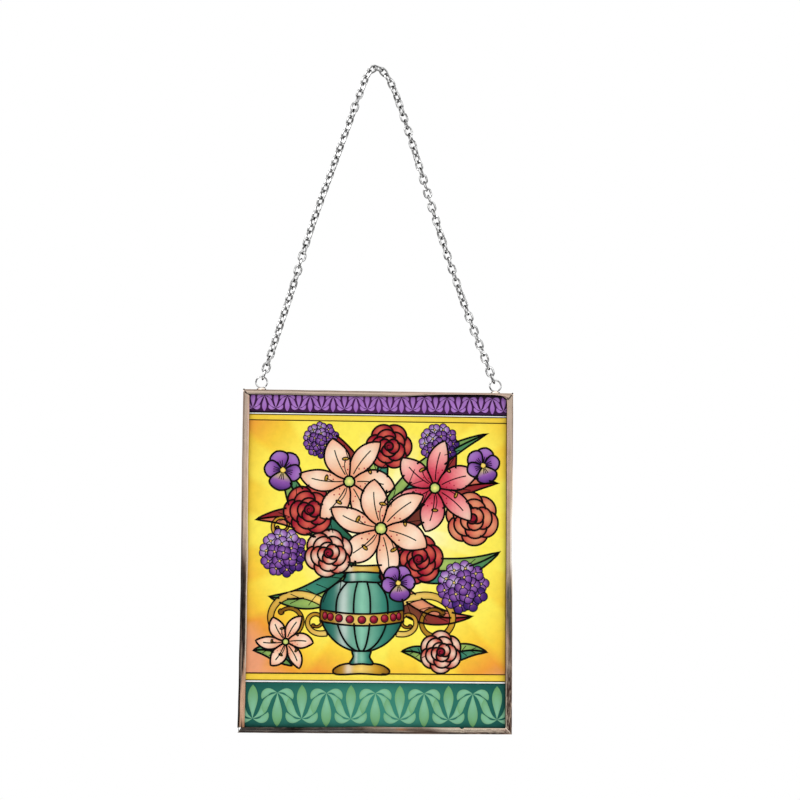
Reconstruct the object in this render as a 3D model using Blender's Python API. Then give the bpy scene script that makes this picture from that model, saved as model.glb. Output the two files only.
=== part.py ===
"""Painted glass suncatcher: a pane in a soldered channel frame, hung from a link chain.

The origin is the hanging point, on the underside of the chain's top link. +Z is up, the
painted face looks along -Y, and +X is to the right of someone looking at the painting.
"""

import math

import bmesh
import bpy
from mathutils import Matrix, Vector

MM = 0.001

# Frame and pane
FRAME_WIDTH = 152.0 * MM
FRAME_HEIGHT = 190.0 * MM
GLASS_THICKNESS = 3.0 * MM
CAME_WALL = 0.6 * MM
CAME_FACE = 3.5 * MM  # visible width of the channel's lip
CAME_CORNER = 0.7 * MM  # outer radius of the folded edge
CORNER_STEPS = 3
CLEARANCE = 0.3 * MM  # between separate pieces
GLASS_CHAMFER = 0.25 * MM

# Where the frame hangs below the hook
FRAME_CENTRE_X = 4.0 * MM  # the chain sits on the hook a little off its middle
FRAME_TOP_Z = -183.3 * MM

# Hanging rings, soldered upright on the top came
RING_OUTER = 7.2 * MM
RING_WIRE = 0.85 * MM
RING_OFFSET_X = 65.8 * MM  # from the frame's centre line
RING_LIFT = 4.1 * MM  # ring's centre above the frame's top edge
RING_STEPS = 24
RING_SIDES = 8
BEAD_SIZE = (2.0 * MM, 1.5 * MM, 1.1 * MM)  # half length, half depth, height
BEAD_SEGMENTS = 12
BEAD_RINGS = 8

# Chain
LINK_COUNT = 93
TOP_LINK = 46  # counted from the left ring, the one that the hook carries
LINK_WIDTH = 4.7 * MM
LINK_WIRE = 0.9 * MM
LINK_STEPS = 8
LINK_SIDES = 4
BEARING_BITE = 0.05 * MM  # neighbouring links in a strand sink this far into each other
SLACK = 0.4 * MM  # extra play at the rings and on each side of the top link
ROUTE_SAMPLES = 40  # points read from the route between two of its marks

# Chain route: marks in mm, from the frame's centre line and its top edge, left to right.
# The first and last marks are left out here: they're where the links bear on the rings.
ROUTE_MARKS = (
    (-57.6, 31.0),
    (-49.2, 58.5),
    (-38.7, 94.5),
    (-26.6, 130.5),
    (-14.4, 166.0),
    (-8.8, 181.6),
    (-5.6, 186.0),
    (-1.6, 185.6),
    (2.8, 181.2),
    (7.0, 173.0),
    (11.0, 162.0),
    (15.4, 149.0),
    (19.9, 135.0),
    (31.2, 99.0),
    (47.3, 52.0),
)

# Worked out from the sizes above
FRAME_DEPTH = GLASS_THICKNESS + 2 * (CLEARANCE + CAME_WALL)
FRAME_CENTRE_Z = FRAME_TOP_Z - FRAME_HEIGHT / 2
RING_RADIUS = (RING_OUTER - RING_WIRE) / 2
RING_Z = FRAME_TOP_Z + RING_LIFT


def clear_scene():
    """Remove every object that is already in the file."""
    for obj in list(bpy.data.objects):
        bpy.data.objects.remove(obj, do_unlink=True)


def finish_material(name, colour, roughness, metallic):
    """A Principled finish of one colour."""
    material = bpy.data.materials.new(name)
    material.use_nodes = True
    shader = material.node_tree.nodes["Principled BSDF"]
    shader.inputs["Base Color"].default_value = (*colour, 1.0)
    shader.inputs["Roughness"].default_value = roughness
    shader.inputs["Metallic"].default_value = metallic
    return material


def glass_finish():
    """Painted glass, amber on the whole, that lets some light through."""
    material = finish_material("painted_glass", (0.85, 0.55, 0.12), 0.12, 0.0)
    material.node_tree.nodes["Principled BSDF"].inputs["Transmission Weight"].default_value = 0.3
    return material


def came_finish():
    """Warm rose-grey tinned channel."""
    return finish_material("came_metal", (0.54, 0.41, 0.32), 0.25, 1.0)


def chain_finish():
    """Bright nickel plate."""
    return finish_material("nickel_plate", (0.78, 0.78, 0.77), 0.18, 1.0)


def place_mesh(mesh_data, name, material, location=(0.0, 0.0, 0.0), smooth=False):
    """Turn a bmesh into a named object with its own material."""
    bmesh.ops.recalc_face_normals(mesh_data, faces=mesh_data.faces)
    mesh = bpy.data.meshes.new(name)
    mesh_data.to_mesh(mesh)
    mesh_data.free()
    if smooth:
        mesh.shade_smooth()
        mesh.set_sharp_from_angle(angle=math.radians(50))
    mesh.materials.append(material)
    obj = bpy.data.objects.new(name, mesh)
    obj.location = location
    bpy.context.scene.collection.objects.link(obj)
    return obj


def make_glass_pane():
    """The pane reaches into the channels on all four sides, with ground edges."""
    inset = 2 * (CAME_WALL + CLEARANCE)
    size = (FRAME_WIDTH - inset, GLASS_THICKNESS, FRAME_HEIGHT - inset)
    pane = bmesh.new()
    bmesh.ops.create_cube(pane, size=1.0, matrix=Matrix.Diagonal((*size, 1.0)))
    bmesh.ops.bevel(
        pane,
        geom=pane.edges[:],
        offset=GLASS_CHAMFER,
        offset_type="OFFSET",
        segments=1,
        profile=0.5,
        affect="EDGES",
        material=-1,
    )
    place_mesh(pane, "glass_pane", glass_finish(), (FRAME_CENTRE_X, 0.0, FRAME_CENTRE_Z))


def corner_arc(centre, start_degrees):
    """Quarter turn of the came's folded outer edge, clockwise seen with depth to the right."""
    points = []
    for step in range(CORNER_STEPS + 1):
        angle = math.radians(start_degrees + 90 * step / CORNER_STEPS)
        points.append((centre[0] + CAME_CORNER * math.cos(angle), centre[1] + CAME_CORNER * math.sin(angle)))
    return points


def came_section():
    """Channel outline as (depth, distance in from the frame's outer edge) pairs."""
    half = FRAME_DEPTH / 2
    inner = half - CAME_WALL
    outline = [(-inner, CAME_WALL), (-inner, CAME_FACE), (-half, CAME_FACE)]
    outline += corner_arc((-half + CAME_CORNER, CAME_CORNER), 180)
    outline += corner_arc((half - CAME_CORNER, CAME_CORNER), 270)
    outline += [(half, CAME_FACE), (inner, CAME_FACE), (inner, CAME_WALL)]
    return outline


def make_came(name, length, turn_degrees, distance, material):
    """One mitred channel, made as the top strip, then turned to its side of the frame."""
    setback = CLEARANCE / math.sqrt(2)
    came = bmesh.new()
    start = -length / 2
    section = [came.verts.new((start, depth, -inward)) for depth, inward in came_section()]
    end_cap = came.faces.new(section)
    sweep = bmesh.ops.extrude_face_region(came, geom=[end_cap])
    far_verts = [item for item in sweep["geom"] if isinstance(item, bmesh.types.BMVert)]
    bmesh.ops.translate(came, verts=far_verts, vec=(length, 0.0, 0.0))
    for vert in came.verts:
        vert.co.x -= math.copysign(setback - vert.co.z, vert.co.x)
    turn = Matrix.Rotation(math.radians(turn_degrees), 4, "Y")
    bmesh.ops.transform(came, matrix=turn @ Matrix.Translation((0.0, 0.0, distance)), verts=came.verts)
    place_mesh(came, name, material, (FRAME_CENTRE_X, 0.0, FRAME_CENTRE_Z), smooth=True)


def make_frame():
    """Four mitred channels around the pane."""
    material = came_finish()
    make_came("top_came", FRAME_WIDTH, 0, FRAME_HEIGHT / 2, material)
    make_came("right_came", FRAME_HEIGHT, 90, FRAME_WIDTH / 2, material)
    make_came("bottom_came", FRAME_WIDTH, 180, FRAME_HEIGHT / 2, material)
    make_came("left_came", FRAME_HEIGHT, 270, FRAME_WIDTH / 2, material)


def wire_ring(radius, wire_radius, sides, steps, section_turn):
    """A closed wire ring about the Y axis: a round or square section spun full circle.

    The radii hold half way along each straight step, so the flats are as thick as the wire.
    """
    ring = bmesh.new()
    section = bmesh.ops.create_circle(ring, cap_ends=False, radius=wire_radius, segments=sides)
    bmesh.ops.rotate(ring, verts=section["verts"], matrix=Matrix.Rotation(section_turn, 3, "Z"))
    half_step = math.pi / steps
    widen = 1 / math.cos(half_step)
    bmesh.ops.scale(ring, verts=section["verts"], vec=(widen, 1.0, 1.0))
    out = Matrix.Rotation(half_step, 4, "Y") @ Matrix.Translation((radius * widen, 0.0, 0.0))
    bmesh.ops.transform(ring, matrix=out, verts=section["verts"])
    bmesh.ops.spin(
        ring,
        geom=ring.edges[:],
        cent=(0.0, 0.0, 0.0),
        axis=(0.0, 1.0, 0.0),
        angle=math.tau,
        steps=steps,
        use_merge=True,
        use_duplicate=False,
    )
    bmesh.ops.recalc_face_normals(ring, faces=ring.faces)
    return ring


def make_solder_bead(side, centre):
    """Flat-bottomed drop of solder that the ring's lowest stretch is sunk in."""
    bead = bmesh.new()
    bmesh.ops.create_uvsphere(bead, u_segments=BEAD_SEGMENTS, v_segments=BEAD_RINGS, radius=1.0)
    bmesh.ops.scale(bead, vec=BEAD_SIZE, verts=bead.verts)
    cut = bmesh.ops.bisect_plane(
        bead,
        geom=bead.verts[:] + bead.edges[:] + bead.faces[:],
        plane_co=(0.0, 0.0, 0.0),
        plane_no=(0.0, 0.0, -1.0),
        clear_outer=True,
    )
    rim = [item for item in cut["geom_cut"] if isinstance(item, bmesh.types.BMEdge)]
    bmesh.ops.contextual_create(bead, geom=rim)
    low = (centre[0], 0.0, FRAME_TOP_Z + CLEARANCE)
    tool = place_mesh(bead, side + "_bead_form", chain_finish(), low)
    tool.hide_render = True
    tool.display_type = "WIRE"
    return tool


def make_hanging_ring(side, sign):
    """A round ring and the solder that holds it: one fused lump of metal."""
    centre = ring_centre(sign)
    ring = wire_ring(RING_RADIUS, RING_WIRE / 2, RING_SIDES, RING_STEPS, math.pi / RING_SIDES)
    obj = place_mesh(ring, side + "_hanging_ring", chain_finish(), centre, smooth=True)
    solder = obj.modifiers.new("solder", "BOOLEAN")
    solder.operation = "UNION"
    solder.object = make_solder_bead(side, centre)


def ring_centre(sign):
    """Centre of the left (-1) or right (+1) hanging ring."""
    return Vector((FRAME_CENTRE_X + sign * RING_OFFSET_X, 0.0, RING_Z))


def ring_bearing(sign, towards):
    """Where the chain's end link would bear on a ring, less the play left there."""
    centre = ring_centre(sign)
    pull = (towards - centre).normalized()
    return centre + pull * (RING_RADIUS - RING_WIRE / 2 - SLACK)


def route_point(before, start, end, after, t):
    """Point at t between start and end on a centripetal Catmull-Rom curve."""
    knots = [0.0]
    for first, second in ((before, start), (start, end), (end, after)):
        knots.append(knots[-1] + math.sqrt((second - first).length))
    at = knots[1] + (knots[2] - knots[1]) * t

    def blend(first, second, low, high):
        return first.lerp(second, (at - low) / (high - low))

    first_pair = blend(before, start, knots[0], knots[1])
    second_pair = blend(start, end, knots[1], knots[2])
    third_pair = blend(end, after, knots[2], knots[3])
    left = blend(first_pair, second_pair, knots[0], knots[2])
    right = blend(second_pair, third_pair, knots[1], knots[3])
    return blend(left, right, knots[1], knots[2])


def chain_route():
    """Fine points along the chain's centre line, from the left ring to the right one."""
    marks = [Vector((FRAME_CENTRE_X + x * MM, 0.0, FRAME_TOP_Z + z * MM)) for x, z in ROUTE_MARKS]
    marks = [ring_bearing(-1, marks[0]), *marks, ring_bearing(1, marks[-1])]
    ends = [marks[0] * 2 - marks[1], *marks, marks[-1] * 2 - marks[-2]]
    route = []
    for index in range(len(marks) - 1):
        for sample in range(ROUTE_SAMPLES):
            route.append(route_point(*ends[index : index + 4], sample / ROUTE_SAMPLES))
    route.append(marks[-1])
    return route


def walk_route(route, chords):
    """Step along the route so that each step's straight length is the next chord."""
    stops = [route[0]]
    segment = 0
    for chord in chords:
        here = stops[-1]
        while segment < len(route) - 2 and (route[segment + 1] - here).length < chord:
            segment += 1
        low, high = route[segment], route[segment + 1]
        reach, fall = (low - here).length, (high - here).length
        stops.append(low.lerp(high, (chord - reach) / (fall - reach)))
    return stops


def link_stops():
    """Bearing points between links, and the pitch that spreads the links over the route."""
    route = chain_route()
    low, high = 3.5 * MM, 5.0 * MM
    for _ in range(40):
        pitch = (low + high) / 2
        chords = [pitch - 2 * SLACK if index == TOP_LINK else pitch for index in range(LINK_COUNT)]
        stops = walk_route(route, chords)
        if stops[-1].x > route[-1].x:
            high = pitch
        else:
            low = pitch
    return stops, pitch


def link_turn(index):
    """How far a link is turned about the chain's line, in degrees; 90 is edge-on in front.

    Links alternate by a quarter turn. The end links stand edge-on in the rings, and the
    rest lie half way between edge-on and face-on, with slow swings along the right strand.
    """
    from_end = min(index, LINK_COUNT - 1 - index)
    lean = 45 * min(from_end / 4, 1.0)
    if index > TOP_LINK:
        lean += 32 * math.sin((index - TOP_LINK) * math.tau / 23) * min(from_end / 6, 1.0)
    else:
        lean -= 38 * math.exp(-(((index - 16) / 2) ** 2))
    return lean + (90 if index % 2 == 0 else 0)


def link_blank(pitch):
    """One link lying along X in the XZ plane: a square-section ring pulled long."""
    half_wire = LINK_WIRE / 2
    bend = LINK_WIDTH / 2 - half_wire
    corner = half_wire / math.cos(math.pi / LINK_SIDES)
    blank = wire_ring(bend, corner, LINK_SIDES, LINK_STEPS, math.pi / LINK_SIDES)
    stretch = (pitch + LINK_WIRE - BEARING_BITE) / 2 - bend
    for vert in blank.verts:
        vert.co.x += math.copysign(stretch, vert.co.x)
    return blank


def link_place(stops, index):
    """Matrix that carries the blank to its place along the chain."""
    start, end = stops[index], stops[index + 1]
    along = (end - start).normalized()
    across = Vector((0.0, 1.0, 0.0))
    up = along.cross(across)
    frame = Matrix((along, across, up)).transposed().to_4x4()
    roll = Matrix.Rotation(math.radians(link_turn(index)), 4, "X")
    return Matrix.Translation((start + end) / 2) @ frame @ roll


def gather_links(blank, stops, indices, name, material):
    """Copies of the blank at the given places, as one object."""
    gathered = bmesh.new()
    for index in indices:
        copy = blank.copy()
        bmesh.ops.transform(copy, matrix=link_place(stops, index), verts=copy.verts)
        carrier = bpy.data.meshes.new("link")
        copy.to_mesh(carrier)
        copy.free()
        gathered.from_mesh(carrier)
        bpy.data.meshes.remove(carrier)
    return place_mesh(gathered, name, material)


def make_strand(name, blank, stops, indices, material):
    """A run of links joined where each one bears on the next."""
    strand = gather_links(blank, stops, indices[::2], name, material)
    others = gather_links(blank, stops, indices[1::2], name + "_alternate_links", material)
    others.hide_render = True
    others.display_type = "WIRE"
    bearing = strand.modifiers.new("bearing", "BOOLEAN")
    bearing.operation = "UNION"
    bearing.object = others


def make_chain():
    """Left strand, the link on the hook, and right strand."""
    material = chain_finish()
    stops, pitch = link_stops()
    blank = link_blank(pitch)
    make_strand("left_chain_strand", blank, stops, range(TOP_LINK), material)
    make_strand("right_chain_strand", blank, stops, range(TOP_LINK + 1, LINK_COUNT), material)
    gather_links(blank, stops, [TOP_LINK], "top_chain_link", material)
    blank.free()
    print("link pitch %.3f mm" % (pitch / MM))


clear_scene()
make_glass_pane()
make_frame()
make_hanging_ring("left", -1)
make_hanging_ring("right", 1)
make_chain()
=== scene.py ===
# %% [markdown]
# # Painted glass suncatcher
#
# A small pane of painted glass sits in a frame of folded metal channel, called came. Two rings are
# soldered on its top edge, and a light link chain hangs it from a hook. The solid model gives the
# sizes, and this lesson dresses it: a finely wavy channel, round wire, clear glass and a picture in
# transparent paints between raised black outlines.

# %% Start from the solid model
import math

import bmesh
import bpy
import numpy as np
from mathutils import Matrix, Vector, noise
from mathutils.geometry import delaunay_2d_cdt


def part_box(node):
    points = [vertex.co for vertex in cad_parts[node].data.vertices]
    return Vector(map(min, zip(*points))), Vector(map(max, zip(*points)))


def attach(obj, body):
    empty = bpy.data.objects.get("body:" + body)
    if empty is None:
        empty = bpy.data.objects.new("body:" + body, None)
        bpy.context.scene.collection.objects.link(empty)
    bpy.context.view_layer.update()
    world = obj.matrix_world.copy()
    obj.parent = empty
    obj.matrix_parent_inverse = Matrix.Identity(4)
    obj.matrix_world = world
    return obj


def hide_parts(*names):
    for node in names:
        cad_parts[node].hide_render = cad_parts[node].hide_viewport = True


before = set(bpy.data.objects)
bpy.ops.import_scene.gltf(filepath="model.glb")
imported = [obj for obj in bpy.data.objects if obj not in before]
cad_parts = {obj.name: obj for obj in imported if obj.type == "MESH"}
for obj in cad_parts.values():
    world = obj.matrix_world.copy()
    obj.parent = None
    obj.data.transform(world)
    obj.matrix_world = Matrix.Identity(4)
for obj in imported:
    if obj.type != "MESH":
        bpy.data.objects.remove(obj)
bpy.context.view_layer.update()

MM = 0.001

# %% [markdown]
# ## Where the parts are
#
# Every place is worked out from the solid model's boxes, so nothing has to be fitted afterwards. The
# four channels give the frame's outer rectangle. The pane's front face is where the paint goes.

# %% Read the frame's rectangle
left_low, left_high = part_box("left_came")
top_low, top_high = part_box("top_came")
FRAME_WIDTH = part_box("right_came")[1].x - left_low.x
FRAME_HEIGHT = top_high.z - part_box("bottom_came")[0].z
FRAME_DEPTH = top_high.y - top_low.y
FRAME_TOP = top_high.z
FRAME_CENTRE = Vector((left_low.x + FRAME_WIDTH / 2, 0.0, FRAME_TOP - FRAME_HEIGHT / 2))
CAME_FACE = left_high.x - left_low.x
GLASS_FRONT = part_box("glass_pane")[0].y
print("frame %.1f x %.1f x %.1f mm" % (FRAME_WIDTH / MM, FRAME_HEIGHT / MM, FRAME_DEPTH / MM))

# %% [markdown]
# ## Camera
#
# The panel is seen almost straight on, from a little to the left and a little below, with a fairly
# long lens that keeps its sides parallel. The camera is turned by half a degree about its own axis,
# because the panel hangs a touch out of true.

# %% Place the camera
CAMERA_DISTANCE = 1.0
CAMERA_AZIMUTH = math.radians(-3.08)
CAMERA_ELEVATION = math.radians(-5.54)
CAMERA_ROLL = math.radians(0.59)
CAMERA_LENS = 80.0
aim = FRAME_CENTRE + Vector((12.0 * MM, 0.0, 90.3 * MM))


def add_object(name, data):
    """A new object in the scene."""
    made = bpy.data.objects.new(name, data)
    bpy.context.scene.collection.objects.link(made)
    return made


flat = math.cos(CAMERA_ELEVATION)
side, front = math.sin(CAMERA_AZIMUTH) * flat, -math.cos(CAMERA_AZIMUTH) * flat
back = Vector((side, front, math.sin(CAMERA_ELEVATION)))
camera = add_object("studio_camera", bpy.data.cameras.new("studio_camera"))
camera.data.lens = CAMERA_LENS
camera.location = aim + back * CAMERA_DISTANCE
upright = (-back).to_track_quat("-Z", "Y").to_matrix()
camera.rotation_euler = (upright @ Matrix.Rotation(CAMERA_ROLL, 3, "Z")).to_euler()
bpy.context.scene.camera = camera

# %% [markdown]
# ## Studio
#
# A white room lights the panel from all round, because thin paints on glass show their colour by
# the light behind them as much as by the light in front. The room is darker low down and behind
# the camera, so the polished channel has something to mirror. What the camera sees directly stays
# white. A broad soft light from the upper left gives the wire its highlights, and a smaller one
# behind the panel, on the right, lights its rims.

# %% Helpers for shader nodes
def feed(tree, socket, value):
    """Give an input a plain value, or link it to another node's output."""
    if isinstance(value, bpy.types.NodeSocket):
        tree.links.new(value, socket)
    elif socket.type == "RGBA":
        socket.default_value = (*value[:3], 1.0)
    else:
        socket.default_value = value


def fill(tree, node, **inputs):
    """Feed a node's inputs by name; _ stands for a space."""
    for key, value in inputs.items():
        feed(tree, node.inputs[key.replace("_", " ")], value)
    return node


def add_node(tree, kind, settings=None, **inputs):
    """Add a node, set its properties and feed its inputs."""
    made = tree.nodes.new("ShaderNode" + kind)
    for key, value in (settings or {}).items():
        setattr(made, key, value)
    return fill(tree, made, **inputs)


# %% Helpers for colours, sums and noise
def mix(tree, factor, first, second, blend="MIX"):
    """Blend two colours; the colour sockets of a Mix node come after its number and vector ones."""
    made = add_node(tree, "Mix", {"data_type": "RGBA", "blend_type": blend})
    for index, value in ((0, factor), (6, first), (7, second)):
        feed(tree, made.inputs[index], value)
    return made.outputs[2]


def combine(tree, kind, operation, first, second):
    """A maths node on two values."""
    made = add_node(tree, kind, {"operation": operation})
    feed(tree, made.inputs[0], first)
    feed(tree, made.inputs[1], second)
    return made.outputs[0]


def times(tree, first, second):
    """The product of two numbers."""
    return combine(tree, "Math", "MULTIPLY", first, second)


def plus(tree, first, second):
    """The sum of two numbers."""
    return combine(tree, "Math", "ADD", first, second)


def cloud_noise(tree, vector, scale, detail, **more):
    """The grey value of a noise texture."""
    return add_node(tree, "TexNoise", Vector=vector, Scale=scale, Detail=detail, **more).outputs[0]


def own_place(tree):
    """The surface's own coordinates."""
    return add_node(tree, "TexCoord").outputs["Object"]


# %% Helpers for ranges and ramps
def span(tree, value, low, high, kind="LINEAR", **more):
    """Where a value lies between two limits, 0 at the first and 1 at the second."""
    made = add_node(tree, "MapRange", {"interpolation_type": kind}, Value=value, **more)
    return fill(tree, made, From_Min=low, From_Max=high).outputs[0]


def ramp(tree, value, stops):
    """A Color Ramp through (position, grey or colour) stops, in rising order."""
    made = add_node(tree, "ValToRGB", Fac=value)
    elements = made.color_ramp.elements
    elements[0].position, elements[1].position = stops[0][0], stops[-1][0]
    for position, _ in stops[1:-1]:
        elements.new(position)
    for index, (_, colour) in enumerate(stops):
        elements[index].color = (*(colour if isinstance(colour, tuple) else (colour,) * 3), 1.0)
    return made.outputs[0]


# %% Build the white room
# Grey of the room by height: 0 is straight down, 0.5 level and 1 straight up
ROOM_FRONT = ((0.0, 0.5), (0.40, 0.22), (0.485, 0.28), (0.54, 0.95), (1.0, 1.0))
ROOM_BACK = ((0.0, 0.6), (0.42, 0.75), (0.55, 1.0), (1.0, 1.0))
ROOM_STRENGTH = 1.6


def build_world():
    """White for the eye, a soft gradient from floor to ceiling for everything else."""
    world = bpy.data.worlds.new("white_room")
    world.use_nodes = True
    tree = world.node_tree
    tree.nodes.clear()
    place = add_node(tree, "TexCoord").outputs["Generated"]
    split = add_node(tree, "SeparateXYZ", Vector=place).outputs
    height = span(tree, split["Z"], -1.0, 1.0)
    depth = span(tree, split["Y"], -0.25, 0.25)
    room = mix(tree, depth, ramp(tree, height, ROOM_FRONT), ramp(tree, height, ROOM_BACK))
    for_eye = add_node(tree, "LightPath").outputs["Is Camera Ray"]
    strength = span(tree, for_eye, 0.0, 1.0, To_Min=ROOM_STRENGTH)
    seen = mix(tree, for_eye, room, (1.0, 1.0, 1.0))
    background = add_node(tree, "Background", Color=seen, Strength=strength)
    add_node(tree, "OutputWorld", Surface=background.outputs[0])
    return world


# %% Light the room
def soft_light(name, place, size, power):
    """An area light that faces the middle of the panel."""
    lamp = add_object(name, bpy.data.lights.new(name, "AREA"))
    lamp.data.size = size
    lamp.data.energy = power
    lamp.location = FRAME_CENTRE + Vector(place)
    lamp.rotation_euler = (FRAME_CENTRE - lamp.location).to_track_quat("-Z", "Y").to_euler()


bpy.context.scene.view_settings.view_transform = "Standard"
bpy.context.scene.world = build_world()
soft_light("key_light", (-0.7, -0.9, 0.9), 0.5, 4.0)
soft_light("rim_light", (0.8, 0.6, 0.7), 0.4, 3.0)

# %% [markdown]
# A pale round floor lies well below the panel. It is small, so that it stays out of the straight-on
# view and shows only when someone looks down past the frame.

# %% Lay the floor
FLOOR_DROP = 0.3
FLOOR_RADIUS = 0.7


def new_material(name):
    """A node material; returns it with its tree and its Principled shader."""
    material = bpy.data.materials.new(name)
    material.use_nodes = True
    tree = material.node_tree
    return material, tree, tree.nodes["Principled BSDF"]


def make_floor():
    """A flat pale disc."""
    disc = bmesh.new()
    bmesh.ops.create_circle(disc, cap_ends=True, radius=FLOOR_RADIUS, segments=96)
    drop = (FRAME_CENTRE.x, 0.0, FRAME_CENTRE.z - FRAME_HEIGHT / 2 - FLOOR_DROP)
    bmesh.ops.translate(disc, verts=disc.verts, vec=drop)
    mesh = bpy.data.meshes.new("floor")
    disc.to_mesh(mesh)
    disc.free()
    material, tree, shader = new_material("studio_floor")
    fill(tree, shader, Base_Color=(0.86, 0.86, 0.85), Roughness=0.6)
    mesh.materials.append(material)
    floor = add_object("floor", mesh)


make_floor()

# %% [markdown]
# ## Effects that several finishes share
#
# Metal that was drawn through a die has fine lines along it, and every handled metal dulls in soft
# patches. Each effect is a node group with its own inputs, built once. A group hands out only
# colours, masks, values and normals; the shader itself stays in the material.

# %% Helpers for node groups
def new_group(name, inputs, outputs):
    """An empty shader group. Starting values tell the inputs' kinds, and names tell the outputs'."""
    group = bpy.data.node_groups.new(name, "ShaderNodeTree")
    for label, value in inputs.items():
        kind = "Float" if isinstance(value, float) else "Color" if len(value) == 4 else "Vector"
        socket = group.interface.new_socket(label, in_out="INPUT", socket_type="NodeSocket" + kind)
        socket.default_value = value
    for label in outputs:
        kind = {"Color": "Color", "Normal": "Vector"}.get(label, "Float")
        group.interface.new_socket(label, in_out="OUTPUT", socket_type="NodeSocket" + kind)
    start = group.nodes.new("NodeGroupInput")
    return group, start.outputs, group.nodes.new("NodeGroupOutput")


def use_group(tree, group, **inputs):
    """Place a group in a material with this material's own values."""
    return add_node(tree, "Group", {"node_tree": group}, **inputs).outputs


def dress(tree, shader, colour, effect, **plain):
    """Feed a shader a colour, an effect's roughness and normal, and plain values."""
    fill(tree, shader, Base_Color=colour, Roughness=effect["Roughness"], Normal=effect["Normal"], **plain)


NO_VECTOR = (0.0, 0.0, 0.0)


# %% Group: fine drawn lines
def build_drawn_lines():
    """Long fine streaks: a tone, a roughness and a normal that share one stretched noise."""
    starts = {"Vector": NO_VECTOR, "Stretch": (1.0, 40.0, 40.0), "Roughness": 0.2, "Spread": 0.1}
    outputs = ("Tone", "Roughness", "Normal")
    group, given, result = new_group("drawn_lines", {**starts, "Depth": 0.1}, outputs)
    stretched = combine(group, "VectorMath", "MULTIPLY", given["Vector"], given["Stretch"])
    tone = cloud_noise(group, stretched, 1.0, 2.0)
    rough = plus(group, given["Roughness"], times(group, plus(group, tone, -0.5), given["Spread"]))
    bump = add_node(group, "Bump", Height=tone, Strength=given["Depth"], Distance=0.05 * MM)
    fill(group, result, Tone=tone, Roughness=rough, Normal=bump.outputs[0])
    return group


DRAWN_LINES = build_drawn_lines()


# %% Group: soft patches of tarnish
def build_tarnish():
    """A clean colour that turns to a tarnished one in cloudy patches."""
    colours = {"Clean": (0.8, 0.8, 0.8, 1.0), "Tarnished": (0.2, 0.2, 0.2, 1.0)}
    starts = {"Vector": NO_VECTOR, "Scale": 300.0, **colours, "Amount": 0.5}
    group, given, result = new_group("tarnish", starts, ("Color", "Mask"))
    cloud = cloud_noise(group, given["Vector"], given["Scale"], 5.0, Roughness=0.6)
    shifted = plus(group, cloud, plus(group, given["Amount"], -0.5))
    mask = ramp(group, shifted, ((0.42, 0.0), (0.66, 1.0)))
    fill(group, result, Color=mix(group, mask, given["Clean"], given["Tarnished"]), Mask=mask)
    return group


TARNISH = build_tarnish()


# %% Group: bright worn edges
def build_edge_wear():
    """A mask of the outward edges, where fingers and cloths polish the metal."""
    group, given, result = new_group("edge_wear", {"Vector": NO_VECTOR, "Amount": 1.0}, ("Mask",))
    sharpness = add_node(group, "NewGeometry").outputs["Pointiness"]
    edge = ramp(group, sharpness, ((0.5, 0.0), (0.58, 1.0)))
    patches = ramp(group, cloud_noise(group, given["Vector"], 400.0, 3.0), ((0.35, 0.0), (0.6, 1.0)))
    fill(group, result, Mask=times(group, times(group, edge, patches), given["Amount"]))
    return group


EDGE_WEAR = build_edge_wear()
print("node groups:", sorted(group.name for group in bpy.data.node_groups))

# %% [markdown]
# ## Helpers for pieces
#
# Each piece is made as a bmesh and ends as an object at the origin whose place is in its mesh. It
# then hides the solid it stands for, if any, gets its material and is parented to what it moves with.

# %% Turn a bmesh into a finished piece
def finish_piece(shape, name, material, replaced=(), sharp=40.0):
    """Write the bmesh out as an object, shade it smooth, give it its material and parent it to the root
    body.
    """
    mesh = bpy.data.meshes.new(name)
    shape.to_mesh(mesh)
    shape.free()
    mesh.shade_smooth()
    mesh.set_sharp_from_angle(angle=math.radians(sharp))
    mesh.materials.append(material)
    piece = add_object(name, mesh)
    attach(piece, "root")
    if replaced:
        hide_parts(*replaced)
    mesh.calc_loop_triangles()
    print("%-22s %6d triangles" % (name, len(mesh.loop_triangles)))


def round_off(shape, geom, radius, segments, affect="EDGES"):
    """Round the given corners or edges."""
    form = {"segments": segments, "profile": 0.5, "affect": affect, "material": -1}
    bmesh.ops.bevel(shape, geom=geom, offset=radius, offset_type="OFFSET", **form)


# %% [markdown]
# ## The came
#
# The channel is thin brass strip folded to a U and tinned. It was pressed on by hand, so its front
# lip is wider in some places than in others, and it is slightly wavy. It could be a curve with a
# bevel profile, but its ends have to meet in mitres and its lip has to vary. So one side is a
# section with its corners rounded by a vertex bevel, extruded in many short steps. Then its points
# are moved: the lip to its width at that place, and the ends in by how far each point lies from the
# outer edge.

# %% Section of the channel
CAME_WALL = 0.6 * MM
SHOULDER_RADIUS = 0.8 * MM
LIP_RADIUS = 0.27 * MM
GROOVE = (0.95 * MM, 1.15 * MM, 1.35 * MM)  # press line along the face: near edge, bottom, far edge
GROOVE_DEPTH = 0.06 * MM


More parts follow.
